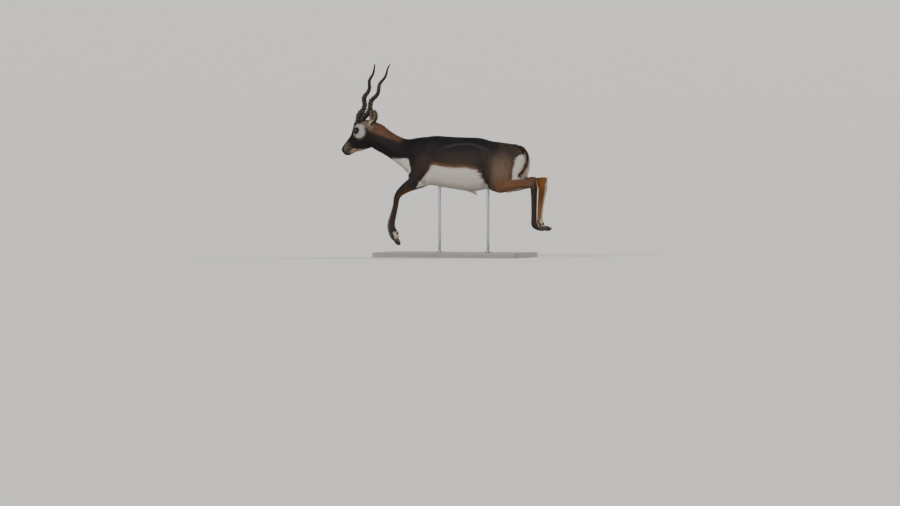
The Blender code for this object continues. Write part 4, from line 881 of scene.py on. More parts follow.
def faceTones(tone, places, normals, local, ragged):
    x, y, z = places.T
    out = np.abs(y)
    along, above = local[:, 0], local[:, 1]
    folded = np.stack([along, above, out], axis=1)
    flat = np.stack([x, np.zeros(len(x)), z], axis=1)
    onHeadToo = smooth(0.57, 0.60, z) * smooth(-0.47, -0.50, x)
    sideways = smooth(0.017, 0.025, out) * onHeadToo
    fawn = smooth(0.034, 0.012, nearPath(flat, ((-0.612, 0.0, 0.836), (-0.565, 0.0, 0.824), (-0.545, 0.0, 0.808))) + ragged * 2.5)
    tone = blendTones(tone, tones["fawn"], fawn * sideways * 0.9)
    crown = hump(nearPath(folded, ((0.030, 0.080, 0.0), (-0.030, 0.075, 0.0))), 0.024) * onHeadToo
    tone = blendTones(tone, tones["rust"], crown * 0.35)
    away = np.stack([(x + 0.6148) / 0.0395, (z - 0.7793) / 0.0420], axis=1)
    ringReach = np.hypot(away[:, 0], away[:, 1]) + wobble(places, 62, 4.4) * 0.07 - 0.07 * smooth(0.2, 0.9, -away[:, 1] - 0.4 * away[:, 0])
    behind = smooth(0.1, 0.8, away[:, 0] * 0.75 - away[:, 1] * 0.65)
    buff = smooth(1.45, 1.08, ringReach + ragged * 12) * behind * sideways
    tone = blendTones(tone, (0.115, 0.074, 0.040), buff * 0.8)
    ring = smooth(1.07, 0.95, ringReach + ragged * 9) * sideways
    # the eye ring's white is painted a little greyer and bluer, as painted shade
    tone = blendTones(tone, np.array(tones["white"]) * (0.80, 0.83, 0.87), ring * (0.88 + 0.12 * wobble(places, 240, 3.3)))
    spot = hump(np.hypot((x + 0.5640) / 0.0100, (z - 0.7835) / 0.0170), 1.0)
    tone = blendTones(tone, tones["ink"], np.clip(spot * 1.3, 0, 1) * sideways)
    bridge = np.interp(along, [station[0] for station in headStations[::-1]], [station[1] for station in headStations[::-1]])
    muzzle = smooth(0.135, 0.160, along + ragged) * smooth(0.005, 0.014, bridge - above + ragged) * smooth(-0.062, -0.050, above) * smooth(0.009, 0.018, out)
    mottled = 0.80 + 0.30 * smooth(-0.5, 0.5, wobble(places, 260, 5.0) + wobble(places, 120, 2.6) * 0.6)
    tone = blendTones(tone, tones["muzzle"], muzzle * onHeadToo * 0.9 * mottled)
    mouthLevel = edgeAt(along, [point[:2] for point in faceShape["mouth"]])
    belowMouth = smooth(0.001, -0.003, above - mouthLevel + ragged * 0.3) * onHeadToo
    chin = belowMouth * smooth(0.138, 0.158, along) * smooth(0.218, 0.203, along)
    tone = blendTones(tone, tones["muzzle"], chin * 0.9 * mottled)
    tone = blendTones(tone, tones["ink"], belowMouth * smooth(0.40, 0.75, -normals @ np.array(headUp)) * smooth(0.140, 0.165, along) * 0.85)
    jaw = smooth(0.002, -0.003, z - edgeAt(x, jawEdge) + ragged) * smooth(-0.690, -0.672, x) * smooth(-0.566, -0.590, x) * onHeadToo
    tone = blendTones(tone, tones["tan"], jaw * smooth(-0.025, -0.035, above) * 0.95)
    darkSpots = np.maximum(hump(nearPath(folded, ((0.154, 0.003, 0.027), (0.148, -0.004, 0.028))), 0.0055), hump(nearPath(folded, ((0.176, -0.018, 0.028), (0.164, -0.014, 0.029))), 0.0045))
    tone = blendTones(tone, tones["ink"], darkSpots * onHeadToo * 0.9)
    noseTip = smooth(0.193, 0.205, along + hump(out, 0.008) * 0.012) * smooth(-0.030, -0.020, above) * onHeadToo
    tone = blendTones(tone, tones["ink"], noseTip)
    lipLine = hump(above - mouthLevel, 0.0024) * smooth(0.125, 0.140, along) * onHeadToo
    tone = blendTones(tone, tones["ink"], lipLine)
    slit = hump(nearPath(folded, faceShape["slit"]), 0.0042) * onHeadToo
    tone = blendTones(tone, tones["ink"], np.clip(slit * 1.3, 0, 1))
    return blendTones(tone, tones["ink"], smooth(1.07, 0.97, darkLids(folded)) * onHeadToo)


def coatTones(places, normals, fields, weights):
    share = dict(zip(lineNames, weights))
    ragged = wobble(places, 70) * 0.0035 + wobble(places, 230, 1.7) * 0.0015
    tone = np.tile(tones["black"], (len(places), 1))
    tone = bodyTones(tone, places, normals, share, ragged, fields[lineNames.index("tail")]["score"])
    tone = legTones(tone, places, normals, share, fields, ragged)
    tone = faceTones(tone, places, normals, inHeadAxes(places), ragged)
    grain = 1 + 0.10 * wobble(places, 130, 0.7)
    return np.clip(tone * grain[:, None], 0.002, 0.95)


print("fields ready")


def dressSkin():
    base = skin.data
    earParts = {label: earMesh(label, side) for label, side in sides.items()}
    lidParts = {label: lidMesh(side) for label, side in sides.items()}
    counts = [len(base.vertices)]
    order = [base]
    for label in sides:
        order += [earParts[label]]
        counts.append(len(earParts[label].vertices))
    for label in sides:
        order += [lidParts[label]]
        counts.append(len(lidParts[label].vertices))
    return joinMeshes("skinWhole", order), np.repeat(np.arange(len(counts)), counts)


wholeSkin, partOf = dressSkin()
places, normals = vertexArray(wholeSkin), normalArray(wholeSkin)
fields, nearest, weights, hair, lie = skinFields(places, normals)
tone = coatTones(places, normals, fields, weights)
local = inHeadAxes(places)
onEar = (partOf == 1) | (partOf == 2)
onLid = partOf >= 3

# ears: their own lie, tones and unwrap
earWide = {}
for index, (label, side) in enumerate(sides.items()):
    mine = partOf == index + 1
    lean = np.array(Vector(earLean[label]).normalized())
    root = np.array(onHead(-0.041, 0.028, 0.038 * side))
    opening = np.array((-0.42, 0.86 * side, -0.30))
    opening = opening - lean * (opening @ lean)
    opening /= np.linalg.norm(opening)
    away = places[mine] - root
    reach = away @ lean / earSizes["length"]
    facing = normals[mine] @ opening
    ragged = wobble(places[mine], 160) * 0.08
    earTone = np.tile(tones["ear"], (mine.sum(), 1))
    crosswise = away @ np.cross(lean, opening)
    earTone = blendTones(earTone * 0.8, tones["fawn"], smooth(0.3, 0.7, facing) * smooth(0.10, 0.3, reach) * 0.45)
    earTone = blendTones(earTone, tones["ink"], hump(crosswise, 0.0045) * smooth(0.2, 0.6, facing) * smooth(0.9, 0.7, reach) * 0.7)
    # pale ear rims are the ear's own colour; the stronger cream on one rim of each ear is painted rim light
    earTone = blendTones(earTone, tones["cream"], smooth(0.55, 0.85, np.abs(crosswise) / 0.024 + 0.25 * smooth(0.5, 0.9, reach)) * smooth(0.15, 0.3, reach) * (0.30 + 0.55 * (crosswise * side < 0)))
    earTone = blendTones(earTone, tones["ink"], smooth(0.88, 0.98, reach + ragged) * 0.7)
    earTone = blendTones(earTone, tones["cream"], smooth(0.26, 0.12, reach + ragged) * smooth(0.0, 0.5, facing) * 0.8)
    tone[mine] = earTone
    lie[mine] = lean
    hair[mine] = 0.0052 + 0.006 * smooth(0.3, 0.7, facing) * smooth(0.15, 0.3, reach)
    earWide[label] = (mine, away, lean, opening)
tone[onLid] = tones["ink"]

# bare places: nose pad and nostrils, the eyes' openings and lids, horn bases and dewclaws carry no hair
folded = local.copy()
folded[:, 2] = np.abs(folded[:, 2])
nosePad = smooth(0.196, 0.204, local[:, 0]) * smooth(-0.0235, -0.019, local[:, 1]) * smooth(0.030, 0.022, local[:, 1]) * smooth(0.0245, 0.0195, folded[:, 2])
nostrilGap = nearPath(folded, faceShape["nostril"])
nosePad = np.maximum(nosePad, smooth(0.0050, 0.0035, nostrilGap))
openWay = smooth(1.10, 1.00, darkLids(folded))
horned = np.zeros(len(places))
for side in (-1, 1):
    hornFoot = ((-0.6250, 0.0305 * side, 0.8280), (-0.612, 0.0437 * side, 0.868))
    hornGap = nearPath(places, hornFoot)
    horned = np.maximum(horned, smooth(0.0200, 0.0185, hornGap))
    hair *= 1 - 0.62 * smooth(0.034, 0.022, hornGap)
dewGap = np.full(len(places), 9.0)
for x, y, z in ((-0.3545, 0.060, 0.149), (-0.4135, 0.060, 0.157), (0.5585, 0.070, 0.209), (0.5535, 0.070, 0.210)):
    for out in (-0.009, 0.009):
        mirror = -1 if x in (-0.3545, 0.5585) else 1
        dewGap = np.minimum(dewGap, np.linalg.norm(places - (x, y * mirror + out, z), axis=1))
horny = smooth(0.0085, 0.0070, dewGap)
bare = np.clip(nosePad + openWay + onLid + horned + horny, 0, 1)

depth = hair * 0.26 * (1 - bare) * (1 - 0.75 * onEar)
depth[onLid] = 0
legShare = sum(weights[lineNames.index(name)] for name in ("foreLeft", "foreRight", "hindLeft", "hindRight"))
depth -= 0.0013 * np.clip(legShare, 0, 1) * smooth(0.47, 0.42, places[:, 2]) * ~onLid  # makes good what smoothing took off the legs
depth = depth * np.where(local[:, 0] > 0.02, 0.8, 1.0)
places = places - normals * depth[:, None]
placeVertices(wholeSkin, places)
print("skin dressed", len(wholeSkin.vertices))

lie = lie - normals * (lie * normals).sum(1)[:, None]
lie += 0.10 * np.stack([wobble(places, 40, 0.3), wobble(places, 40, 2.3), wobble(places, 40, 4.1)], axis=1)
lie -= normals * (lie * normals).sum(1)[:, None]
lie /= np.linalg.norm(lie, axis=1)[:, None] + 1e-9

# ---- the unwrap: each line's stretch of skin is rolled out flat in a cell of its own

cellNames = lineNames + ["earLeft", "earRight"]
cells = {"head": (0, 0, 0.30, 0.30), "neck": (0.32, 0, 0.30, 0.24), "trunk": (0, 0.34, 0.62, 0.62), "tail": (0.64, 0, 0.10, 0.16)}
for index, name in enumerate(("foreLeft", "foreRight", "hindLeft", "hindRight")):
    cells[name] = (0.64 + (index % 2) * 0.18, 0.20 + (index // 2) * 0.40, 0.15, 0.37)
cells["earLeft"], cells["earRight"] = (0.76, 0.0, 0.10, 0.16), (0.88, 0.0, 0.10, 0.16)


def unwrapSkin(mesh):
    corners = np.empty(len(mesh.loops), dtype=np.int32)
    mesh.loops.foreach_get("vertex_index", corners)
    starts = np.empty(len(mesh.polygons), dtype=np.int32)
    totals = np.empty(len(mesh.polygons), dtype=np.int32)
    mesh.polygons.foreach_get("loop_start", starts)
    mesh.polygons.foreach_get("loop_total", totals)
    faceOf = np.repeat(np.arange(len(starts)), totals)
    kind = nearest[corners[starts]].copy()
    faceEar = partOf[corners[starts]]
    kind[faceEar == 1] = cellNames.index("earLeft")
    kind[faceEar == 2] = cellNames.index("earRight")
    angles = [field["angle"] for field in fields]
    reaches = [field["along"] for field in fields]
    for mine, away, lean, opening in earWide.values():
        across = np.cross(lean, opening)
        angle, reach = np.zeros(len(places)), np.zeros(len(places))
        angle[mine] = np.arctan2(away @ across, away @ opening + 0.012)
        reach[mine] = away @ lean + 0.02
        angles.append(angle)
        reaches.append(reach)
    angles, reaches = np.stack(angles), np.stack(reaches)
    own = kind[faceOf]
    angle = angles[own, corners]
    first = angle[starts][faceOf]
    angle = first + (angle - first + math.pi) % math.tau - math.pi
    reach = reaches[own, corners]
    box = np.array([cells[name] for name in cellNames])[own]
    longest = np.array([reaches[index].max() + 1e-6 for index in range(len(cellNames))])[own]
    u = box[:, 0] + box[:, 2] * np.clip(0.5 + angle / math.tau * 0.94, 0, 1)
    v = box[:, 1] + box[:, 3] * (0.02 + 0.96 * reach / longest)
    storeValues(mesh, "rootUv", "FLOAT_VECTOR", "CORNER", np.stack([u, v, v * 0], axis=1).astype(np.float32))
    girth = np.array([0.06, 0.07, 0.12, 0.012, 0.03, 0.03, 0.03, 0.03, 0.02, 0.02])[own]
    storeValues(mesh, "streak", "FLOAT_VECTOR", "CORNER", np.stack([angle * girth, reach, own * 1.0], axis=1).astype(np.float32))
    return kind


faceKind = unwrapSkin(wholeSkin)

faceCentres = np.empty(len(wholeSkin.polygons) * 3, dtype=np.float32)
wholeSkin.polygons.foreach_get("center", faceCentres)
faceCentres = faceCentres.reshape(-1, 3)
coatNames = ["coatFace", "coatNeck", "coatBack", "coatBelly", "coatHaunch", "coatTail", "coatForelegs", "coatHindlegs", "coatEars"]
coatOf = np.array([0, 1, 2, 5, 6, 6, 7, 7, 8, 8])[faceKind]
coatOf[(coatOf == 2) & (faceCentres[:, 2] < 0.560)] = 3
coatOf[(coatOf == 2) & (faceCentres[:, 0] > 0.200)] = 4
coatOf[(coatOf == 7) & (faceCentres[:, 2] > 0.500) & (faceCentres[:, 0] < 0.46)] = 4
storeValues(wholeSkin, "coatPart", "INT", "FACE", coatOf.astype(np.int32))
storeValues(wholeSkin, "coatTone", "FLOAT_COLOR", "POINT", np.concatenate([tone, np.ones((len(tone), 1))], axis=1).astype(np.float32))
storeValues(wholeSkin, "lie", "FLOAT_VECTOR", "POINT", lie.astype(np.float32))
storeValues(wholeSkin, "hair", "FLOAT", "POINT", hair.astype(np.float32))
spread = 0.0085 / np.clip(hair, 0.0045, 0.03)
storeValues(wholeSkin, "thickness", "FLOAT", "POINT", (spread * (1 - bare)).astype(np.float32))

old = skin.data
skin.data = wholeSkin
skin.modifiers.clear()
skin.vertex_groups.clear()
bpy.data.meshes.remove(old)
wholeSkin.materials.clear()
wholeSkin.materials.append(materials["skin"])
wholeSkin.materials.append(materials["bare"])
faceBare = np.zeros(len(wholeSkin.polygons), dtype=np.int32)
corners = np.empty(len(wholeSkin.loops), dtype=np.int32)
wholeSkin.loops.foreach_get("vertex_index", corners)
starts = np.empty(len(wholeSkin.polygons), dtype=np.int32)
wholeSkin.polygons.foreach_get("loop_start", starts)
faceBare[(bare[corners[starts]] > 0.5)] = 1
wholeSkin.polygons.foreach_set("material_index", faceBare)
smoothShade(wholeSkin)
print("skin painted")

# ---- the coat: thin tufts over the skin, set by Geometry Nodes

coatSizes = {
    "coatFace": {"perSquareMetre": 330000, "width": 0.0008, "tilt": 13, "seed": 3},
    "coatNeck": {"perSquareMetre": 420000, "width": 0.0010, "tilt": 13, "seed": 5},
    "coatBack": {"perSquareMetre": 245000, "width": 0.0011, "tilt": 12, "seed": 7},
    "coatBelly": {"perSquareMetre": 260000, "width": 0.0011, "tilt": 15, "seed": 11},
    "coatHaunch": {"perSquareMetre": 330000, "width": 0.0011, "tilt": 12, "seed": 13},
    "coatTail": {"perSquareMetre": 1500000, "width": 0.0010, "tilt": 14, "seed": 17},
    "coatForelegs": {"perSquareMetre": 235000, "width": 0.0010, "tilt": 12, "seed": 19},
    "coatHindlegs": {"perSquareMetre": 225000, "width": 0.0010, "tilt": 12, "seed": 23},
    "coatEars": {"perSquareMetre": 330000, "width": 0.0008, "tilt": 15, "seed": 29},
}


def tuftBlade():
    """One tuft of unit length and width along +Y, a little cupped, curling back towards the body at its tip."""
    rows = ((0.0, 0.55, 0.0), (0.35, 1.0, 0.030), (0.72, 0.72, 0.035))
    mesh = bpy.data.meshes.new("tuftBlade")
    verts = []
    for along, wide, lift in rows:
        verts += [(-wide / 2, along, lift), (wide / 2, along, lift)]
    verts.append((0.0, 1.0, 0.0))
    faces = [(0, 1, 3, 2), (2, 3, 5, 4), (4, 5, 6)]
    mesh.from_pydata(verts, [], faces)
    storeValues(mesh, "along", "FLOAT", "POINT", np.array([v[1] for v in verts], dtype=np.float32))
    storeValues(mesh, "patch", "FLOAT_VECTOR", "POINT", np.array([(v[0] + 0.5, v[1], 0) for v in verts], dtype=np.float32))
    smoothShade(mesh)
    return addObject("tuftBlade", mesh)


def coatTree(blade):
    tree = bpy.data.node_groups.new("layCoat", "GeometryNodeTree")
    tree.interface.new_socket("Geometry", in_out="INPUT", socket_type="NodeSocketGeometry")
    for name, kind in (("Part", "NodeSocketInt"), ("Tufts per square metre", "NodeSocketFloat"), ("Tuft width", "NodeSocketFloat"), ("Tilt", "NodeSocketFloat"), ("Seed", "NodeSocketInt")):
        tree.interface.new_socket(name, in_out="INPUT", socket_type=kind)
    tree.interface.new_socket("Geometry", in_out="OUTPUT", socket_type="NodeSocketGeometry")
    given = tree.nodes.new("NodeGroupInput").outputs

    def named(name, kind):
        return addNode(tree, "GeometryNodeInputNamedAttribute", {"data_type": kind}, {"Name": name}).outputs[0]

    def times(first, second):
        return addNode(tree, "ShaderNodeMath", {"operation": "MULTIPLY"}, {0: first, 1: second}).outputs[0]

    def chance(low, high, offset):
        seed = addNode(tree, "ShaderNodeMath", {"operation": "ADD"}, {0: given["Seed"], 1: float(offset)}).outputs[0]
        node = addNode(tree, "FunctionNodeRandomValue", {"data_type": "FLOAT"}, {"Seed": seed})
        node.inputs[2].default_value, node.inputs[3].default_value = low, high
        return node.outputs[1]

    mine = addNode(tree, "FunctionNodeCompare", {"data_type": "INT", "operation": "EQUAL"})
    tree.links.new(named("coatPart", "INT"), mine.inputs[2])
    tree.links.new(given["Part"], mine.inputs[3])
    scatter = addNode(tree, "GeometryNodeDistributePointsOnFaces", {"distribute_method": "RANDOM"}, {"Mesh": given["Geometry"], "Selection": mine.outputs[0], "Seed": given["Seed"]})
    tree.links.new(times(given["Tufts per square metre"], named("thickness", "FLOAT")), scatter.inputs["Density"])
    facing = addNode(tree, "FunctionNodeAxesToRotation", {"primary_axis": "Z", "secondary_axis": "Y"})
    tree.links.new(scatter.outputs["Normal"], facing.inputs[0])
    tree.links.new(named("lie", "FLOAT_VECTOR"), facing.inputs[1])
    lean = addNode(tree, "ShaderNodeCombineXYZ", None, {0: times(given["Tilt"], chance(0.45, 1.5, 1)), 1: chance(-0.30, 0.30, 2), 2: chance(-0.16, 0.16, 3)})
    turned = addNode(tree, "FunctionNodeRotateRotation", {"rotation_space": "LOCAL"}, {0: facing.outputs[0]})
    toRotation = addNode(tree, "FunctionNodeEulerToRotation", None, {0: lean.outputs[0]})
    tree.links.new(toRotation.outputs[0], turned.inputs[1])
    length = times(named("hair", "FLOAT"), chance(0.75, 1.2, 4))
    size = addNode(tree, "ShaderNodeCombineXYZ", None, {0: times(given["Tuft width"], chance(0.7, 1.25, 5)), 1: length, 2: length})
    shape = addNode(tree, "GeometryNodeObjectInfo", {"transform_space": "ORIGINAL"}, {"Object": blade})
    shadeStore = addNode(tree, "GeometryNodeStoreNamedAttribute", {"data_type": "FLOAT", "domain": "POINT"}, {"Geometry": scatter.outputs["Points"], "Name": "tuftShade", "Value": chance(0.0, 1.0, 6)})
    placed = addNode(tree, "GeometryNodeInstanceOnPoints", None, {"Points": shadeStore.outputs[0], "Instance": shape.outputs["Geometry"], "Rotation": turned.outputs[0], "Scale": size.outputs[0]})
    real = addNode(tree, "GeometryNodeRealizeInstances", None, {"Geometry": placed.outputs[0]})
    spot = addNode(tree, "ShaderNodeVectorMath", {"operation": "SCALE"}, {0: named("patch", "FLOAT_VECTOR"), "Scale": 0.003})
    both = addNode(tree, "ShaderNodeVectorMath", {"operation": "ADD"}, {0: named("rootUv", "FLOAT_VECTOR"), 1: spot.outputs[0]})
    mapped = addNode(tree, "GeometryNodeStoreNamedAttribute", {"data_type": "FLOAT2", "domain": "CORNER"}, {"Geometry": real.outputs[0], "Name": "OFBake", "Value": both.outputs[0]})
    finished = addNode(tree, "GeometryNodeSetMaterial", None, {"Geometry": mapped.outputs[0], "Material": materials["tuft"]})
    result = tree.nodes.new("NodeGroupOutput")
    tree.links.new(finished.outputs[0], result.inputs[0])
    return tree


def layCoat(tree, name):
    carrier = addObject(name, wholeSkin)
    step = carrier.modifiers.new("coat", "NODES")
    step.node_group = tree
    sizes = coatSizes[name]
    values = {"Part": coatNames.index(name), "Tufts per square metre": float(sizes["perSquareMetre"]), "Tuft width": sizes["width"], "Tilt": math.radians(sizes["tilt"]), "Seed": sizes["seed"]}
    for item in tree.interface.items_tree:
        if item.in_out == "INPUT" and item.name in values:
            step[item.identifier] = values[item.name]
    mesh = evaluatedMesh(carrier)
    carrier.modifiers.clear()
    carrier.data = mesh
    mesh.name = name
    for spare in ("rootUv", "patch", "lie", "hair", "thickness", "coatPart", "streak"):
        if spare in mesh.attributes:
            mesh.attributes.remove(mesh.attributes[spare])
    triangles = sum(len(face.vertices) - 2 for face in mesh.polygons)
    print(name, "triangles", triangles)
    return carrier


blade = tuftBlade()
layTree = coatTree(blade)
coatPieces = [layCoat(layTree, name) for name in coatNames]
dropObject(blade)

# ---- eyes

eyeSizes = {"segments": 48, "cornea": 0.0012}


def eyePiece(label, side):
    longAxis, highAxis, outward = eyeAxes(side)
    shape = bmesh.new()
    bmesh.ops.create_uvsphere(shape, u_segments=eyeSizes["segments"], v_segments=eyeSizes["segments"] // 2, radius=1.0)
    unit = [v.co.copy() for v in shape.verts]
    for vertex in shape.verts:
        x, y, z = vertex.co
        reach = headPlace["eyeRadius"] - 0.0002 + eyeSizes["cornea"] * smooth(0.72, 1.0, z)
        vertex.co = eyeCentre(side) + (longAxis * x + highAxis * y + outward * z) * reach
    bmesh.ops.recalc_face_normals(shape, faces=shape.faces)
    mesh = bpy.data.meshes.new(f"eye{label}")
    shape.to_mesh(mesh)
    shape.free()
    storeValues(mesh, "gazePlace", "FLOAT_VECTOR", "POINT", np.array([tuple(v) for v in unit], dtype=np.float32))
    mesh.materials.append(materials["eye"])
    smoothShade(mesh)
    return addObject(f"eye{label.capitalize()}", mesh)


# ---- horns: a corkscrew with worn rings

hornSizes = {
    "root": (-0.622, 0.029, 0.830),
    "tip": (-0.471, 0.148, 1.199),
    "baseRadius": 0.0200,
    "tipRadius": 0.0028,
    "taper": 0.75,
    "curl": math.radians(110),
    "swing": 0.0105,
    "turns": 3.42,
    "bow": {"left": 0.001, "right": -0.003},
    "phase": {"left": math.radians(27), "right": math.radians(68)},
    "rings": 16,
    "ringed": 0.77,
    "levels": 430,
    "around": 28,
}


def hornPoint(label, t, root, axis, first, second):
    turn = -1 if label == "right" else 1
    angle = hornSizes["phase"][label] + math.tau * hornSizes["turns"] * t + hornSizes["curl"] * min(max(1 - t, 0), 1) ** 10
    swing = hornSizes["swing"] * max(1 - t, 0) ** 0.45 * min(1, 0.35 + 4 * t)
    offset = first * math.cos(angle) + second * math.sin(angle) * turn
    bow = hornSizes["bow"][label] * math.sin(math.pi * min(max(t, 0), 1) ** 0.7)
    return root + axis * t + offset * swing - first * bow


def hornPiece(label, side):
    root = Vector((hornSizes["root"][0], hornSizes["root"][1] * side, hornSizes["root"][2]))
    tip = Vector((hornSizes["tip"][0], hornSizes["tip"][1] * side, hornSizes["tip"][2]))
    axis = tip - root
    first = (Vector((1, 0, 0)) - axis * axis.x / axis.length_squared).normalized()
    second = axis.cross(first).normalized()
    if second.y < 0:
        second.negate()
    rings, marks = [], []
    for level in range(hornSizes["levels"] + 1):
        t = level / hornSizes["levels"]
        centre = hornPoint(label, t, root, axis, first, second)
        ahead = hornPoint(label, min(t + 0.01, 1.01), root, axis, first, second)
        behind = hornPoint(label, t - 0.01, root, axis, first, second)
        forward = (ahead - behind).normalized()
        across = forward.cross(first).normalized()
        over = across.cross(forward).normalized()
        taper = (1 - t) ** hornSizes["taper"]
        radius = hornSizes["tipRadius"] + (hornSizes["baseRadius"] - hornSizes["tipRadius"]) * taper
        if t > 0.985:
            radius *= math.sqrt(max(1 - ((t - 0.985) / 0.015) ** 2, 0.02))
        fade = float(smooth(hornSizes["ringed"] + 0.03, hornSizes["ringed"] - 0.06, t)) * min(1, taper * 1.6)
        ring = []
        for step in range(hornSizes["around"]):
            angle = math.tau * step / hornSizes["around"]
            tilted = t + 0.006 * math.cos(angle - 0.6) + 0.0012 * math.sin(3 * angle + level * 0.02)
            phase = (tilted / hornSizes["ringed"] * hornSizes["rings"]) % 1.0
            crest = math.exp(-((phase - 0.60) / 0.15) ** 2) + math.exp(-((phase + 0.40) / 0.15) ** 2) + math.exp(-((phase - 1.60) / 0.15) ** 2)
            worn = 0.85 + 0.15 * math.cos(angle * 2 + level * 0.07)
            ridge = 1 + (-0.115 + 0.305 * crest * worn) * fade
            flute = 1 + 0.012 * math.sin(angle * 7 + t * 25) * (1 - crest * fade)
            ring.append(centre + over * math.cos(angle) * radius * 1.05 * ridge * flute + across * math.sin(angle) * radius * 0.92 * ridge * flute)
            # the third value, the crest, also sets the crests' painted highlight and the hollows' painted shade in the
            # horn material
            marks.append((step / hornSizes["around"], t, crest * fade))
        rings.append(ring)
    mesh = meshOfRings(f"horn{label}", rings)
    storeValues(mesh, "hornPlace", "FLOAT_VECTOR", "POINT", np.array(marks, dtype=np.float32))
    mesh.materials.append(materials["horn"])
    smoothShade(mesh)
    return addObject(f"horn{label.capitalize()}", mesh)


# ---- hooves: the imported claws, rounded

hoofSizes = {"voxel": 0.0010, "rounds": 8}


def hoofPiece(node):
    shape = bmesh.new()
    shape.from_mesh(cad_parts[node].data)
    bmesh.ops.remove_doubles(shape, verts=shape.verts, dist=2e-5)
    mesh = bpy.data.meshes.new(node)
    shape.to_mesh(mesh)
    shape.free()
    piece = addObject("hoof" + "".join(word.capitalize() for word in node.split("_")), mesh)
    step = piece.modifiers.new("remesh", "REMESH")
    step.mode = "VOXEL"
    step.voxel_size = hoofSizes["voxel"]
    step = piece.modifiers.new("smooth", "SMOOTH")
    step.factor = 0.5
    step.iterations = hoofSizes["rounds"]
    bakeModifiers(piece)
    spots, out = vertexArray(piece.data), normalArray(piece.data)
    along = spots @ np.array((0.55, 0, -0.84)) if node.startswith("foreleg") else spots @ np.array((0.85, 0, -0.52))
    spots += out * (0.00016 * np.sin(along * 2100) * smooth(0.9, 0.4, np.abs(out[:, 2])))[:, None]
    placeVertices(piece.data, spots)
    piece.data.materials.append(materials["hoof"])
    smoothShade(piece.data)
    return piece


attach(skin, "root")
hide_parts(*fleshNodes, "ear_left", "ear_right")
for piece in coatPieces:
    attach(piece, "root")
for label, side in sides.items():
    eye = eyePiece(label, side)
    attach(eye, "root")
    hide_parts(f"eye_{label}")
    horn = hornPiece(label, side)
    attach(horn, "root")
    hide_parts(f"horn_{label}")
    for leg in ("foreleg", "hindleg"):
        for claw in sides:
            node = f"{leg}_{label}_claw_{claw}"
            hoof = hoofPiece(node)
            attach(hoof, "root")
            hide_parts(node)
lashes = addObject("lashes", lashMesh())
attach(lashes, "root")
print("eyes, horns and hooves made")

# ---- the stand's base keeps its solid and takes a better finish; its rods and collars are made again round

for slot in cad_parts["stand_base"].material_slots:
    slot.material = materials["plate"]

postSizes = {"around": 72, "rodEdge": 0.0005, "collarEdge": 0.0012}


def roundPost(node):
    corners = vertexArray(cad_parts[node].data)
    low, high = corners.min(0), corners.max(0)
    radius, edge = (high[0] - low[0]) / 2, postSizes["rodEdge" if "rod" in node else "collarEdge"]
    profile = [(radius - edge, low[2])]
    profile += [(radius - edge + edge * math.sin(turn), low[2] + edge - edge * math.cos(turn)) for turn in (0.5, 1.0, math.pi / 2)]
    profile += [(radius - edge + edge * math.cos(turn), high[2] - edge + edge * math.sin(turn)) for turn in (0, 0.5, 1.0, math.pi / 2)]
    rings = []
    for reach, height in profile:
        rings.append([Vector(((low[0] + high[0]) / 2 + reach * math.cos(math.tau * step / postSizes["around"]), (low[1] + high[1]) / 2 + reach * math.sin(math.tau * step / postSizes["around"]), height)) for step in range(postSizes["around"])])
    mesh = meshOfRings(node, rings)
    mesh.materials.append(materials["steel"])
    smoothShade(mesh)
    post = addObject("stand" + "".join(word.capitalize() for word in node.split("_")[1:]), mesh)
    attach(post, "root")
    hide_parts(node)


for node in ("stand_rod_front", "stand_rod_rear", "stand_collar_front", "stand_collar_rear"):
    roundPost(node)

# ---- floor, light and camera

studio = {
    "floorRadius": 60.0,
    "rimHeight": 9.0,
    "floorTone": (0.66, 0.65, 0.63, 1),
    "worldTone": (0.95, 0.97, 1.0, 1),
    "worldStrength": 0.62,
    "azimuth": math.radians(18),
    "elevation": math.radians(1.2),
    "distance": 50.0,
    "viewWidth": 5.58,  # metres across the picture at the animal
    "aimLeft": 0.031,
    "aimHeight": 0.026,
}


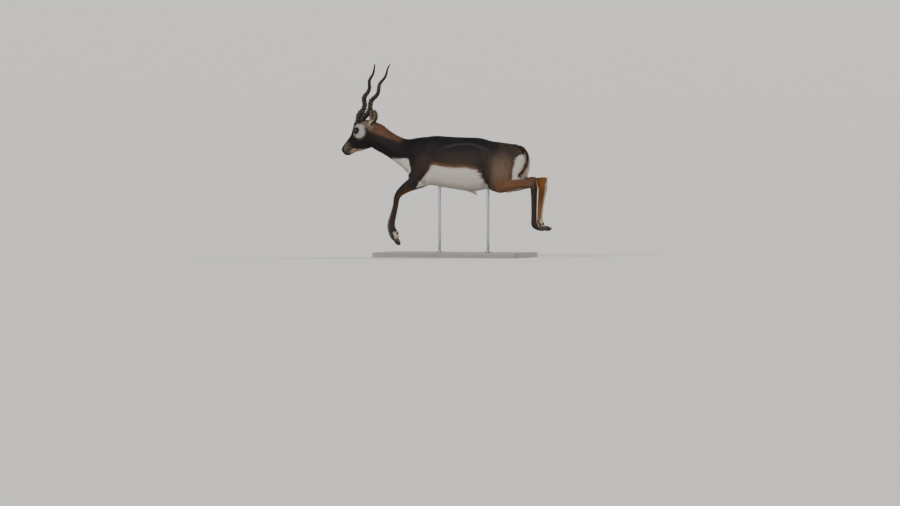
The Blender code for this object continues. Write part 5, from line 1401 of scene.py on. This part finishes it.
def floorDisc():
    rings = []
    for radius, height in [(0.02, 0), (1, 0), (4, 0), (12, 0), (30, 0), (studio["floorRadius"], 0)] + [(studio["floorRadius"] + 30 * math.sin(math.radians(a)), studio["rimHeight"] * 2 * (1 - math.cos(math.radians(a)))) for a in range(5, 65, 5)]:
        rings.append([Vector((math.cos(math.tau * step / 96) * radius, math.sin(math.tau * step / 96) * radius, height)) for step in range(96)])
    shape = bmesh.new()
    layers = [[shape.verts.new(point) for point in ring] for ring in rings]
    shape.faces.new(layers[0])
    for lower, upper in zip(layers, layers[1:]):
        for index in range(96):
            beside = (index + 1) % 96
            shape.faces.new((lower[index], upper[index], upper[beside], lower[beside]))
    mesh = bpy.data.meshes.new("floor")
    shape.to_mesh(mesh)
    shape.free()
    smoothShade(mesh)
    made, tree, shader = newMaterial("paleFloor")
    shader.inputs["Base Color"].default_value = studio["floorTone"]
    shader.inputs["Roughness"].default_value = 0.8
    mesh.materials.append(made)
    return addObject("floor", mesh)


floor = floorDisc()

world = bpy.data.worlds.new("paleStudio")
world.use_nodes = True
bpy.context.scene.world = world
world.node_tree.nodes["Background"].inputs[0].default_value = studio["worldTone"]
world.node_tree.nodes["Background"].inputs[1].default_value = studio["worldStrength"]

lamps = {  # where each wide soft sun stands, how wide it is in degrees, its strength and tone
    "keyLamp": {"stands": (-0.50, -1.0, 0.70), "wide": 30, "strength": 2.1, "tone": (1.0, 0.97, 0.93)},
    "rimLamp": {"stands": (0.75, 0.75, 0.85), "wide": 14, "strength": 1.7, "tone": (1.0, 0.93, 0.82)},
}
for name, lamp in lamps.items():
    data = bpy.data.lights.new(name, "SUN")
    data.angle = math.radians(lamp["wide"])
    data.energy = lamp["strength"]
    data.color = lamp["tone"]
    made = bpy.data.objects.new(name, data)
    made.rotation_euler = (-Vector(lamp["stands"])).to_track_quat("-Z", "Y").to_euler()
    bpy.context.scene.collection.objects.link(made)

cameraData = bpy.data.cameras.new("camera")
cameraData.sensor_width = 36.0
cameraData.lens = 36.0 * studio["distance"] / studio["viewWidth"]
cameraData.clip_end = 400
camera = bpy.data.objects.new("camera", cameraData)
right = Vector((math.cos(studio["azimuth"]), math.sin(studio["azimuth"]), 0))
back = Vector((math.sin(studio["azimuth"]) * math.cos(studio["elevation"]), -math.cos(studio["azimuth"]) * math.cos(studio["elevation"]), math.sin(studio["elevation"])))
aim = Vector((0, 0, studio["aimHeight"])) - right * studio["aimLeft"]
camera.location = aim + back * studio["distance"]
camera.rotation_euler = (-back).to_track_quat("-Z", "Y").to_euler()
bpy.context.scene.collection.objects.link(camera)
bpy.context.scene.camera = camera
print("studio ready")
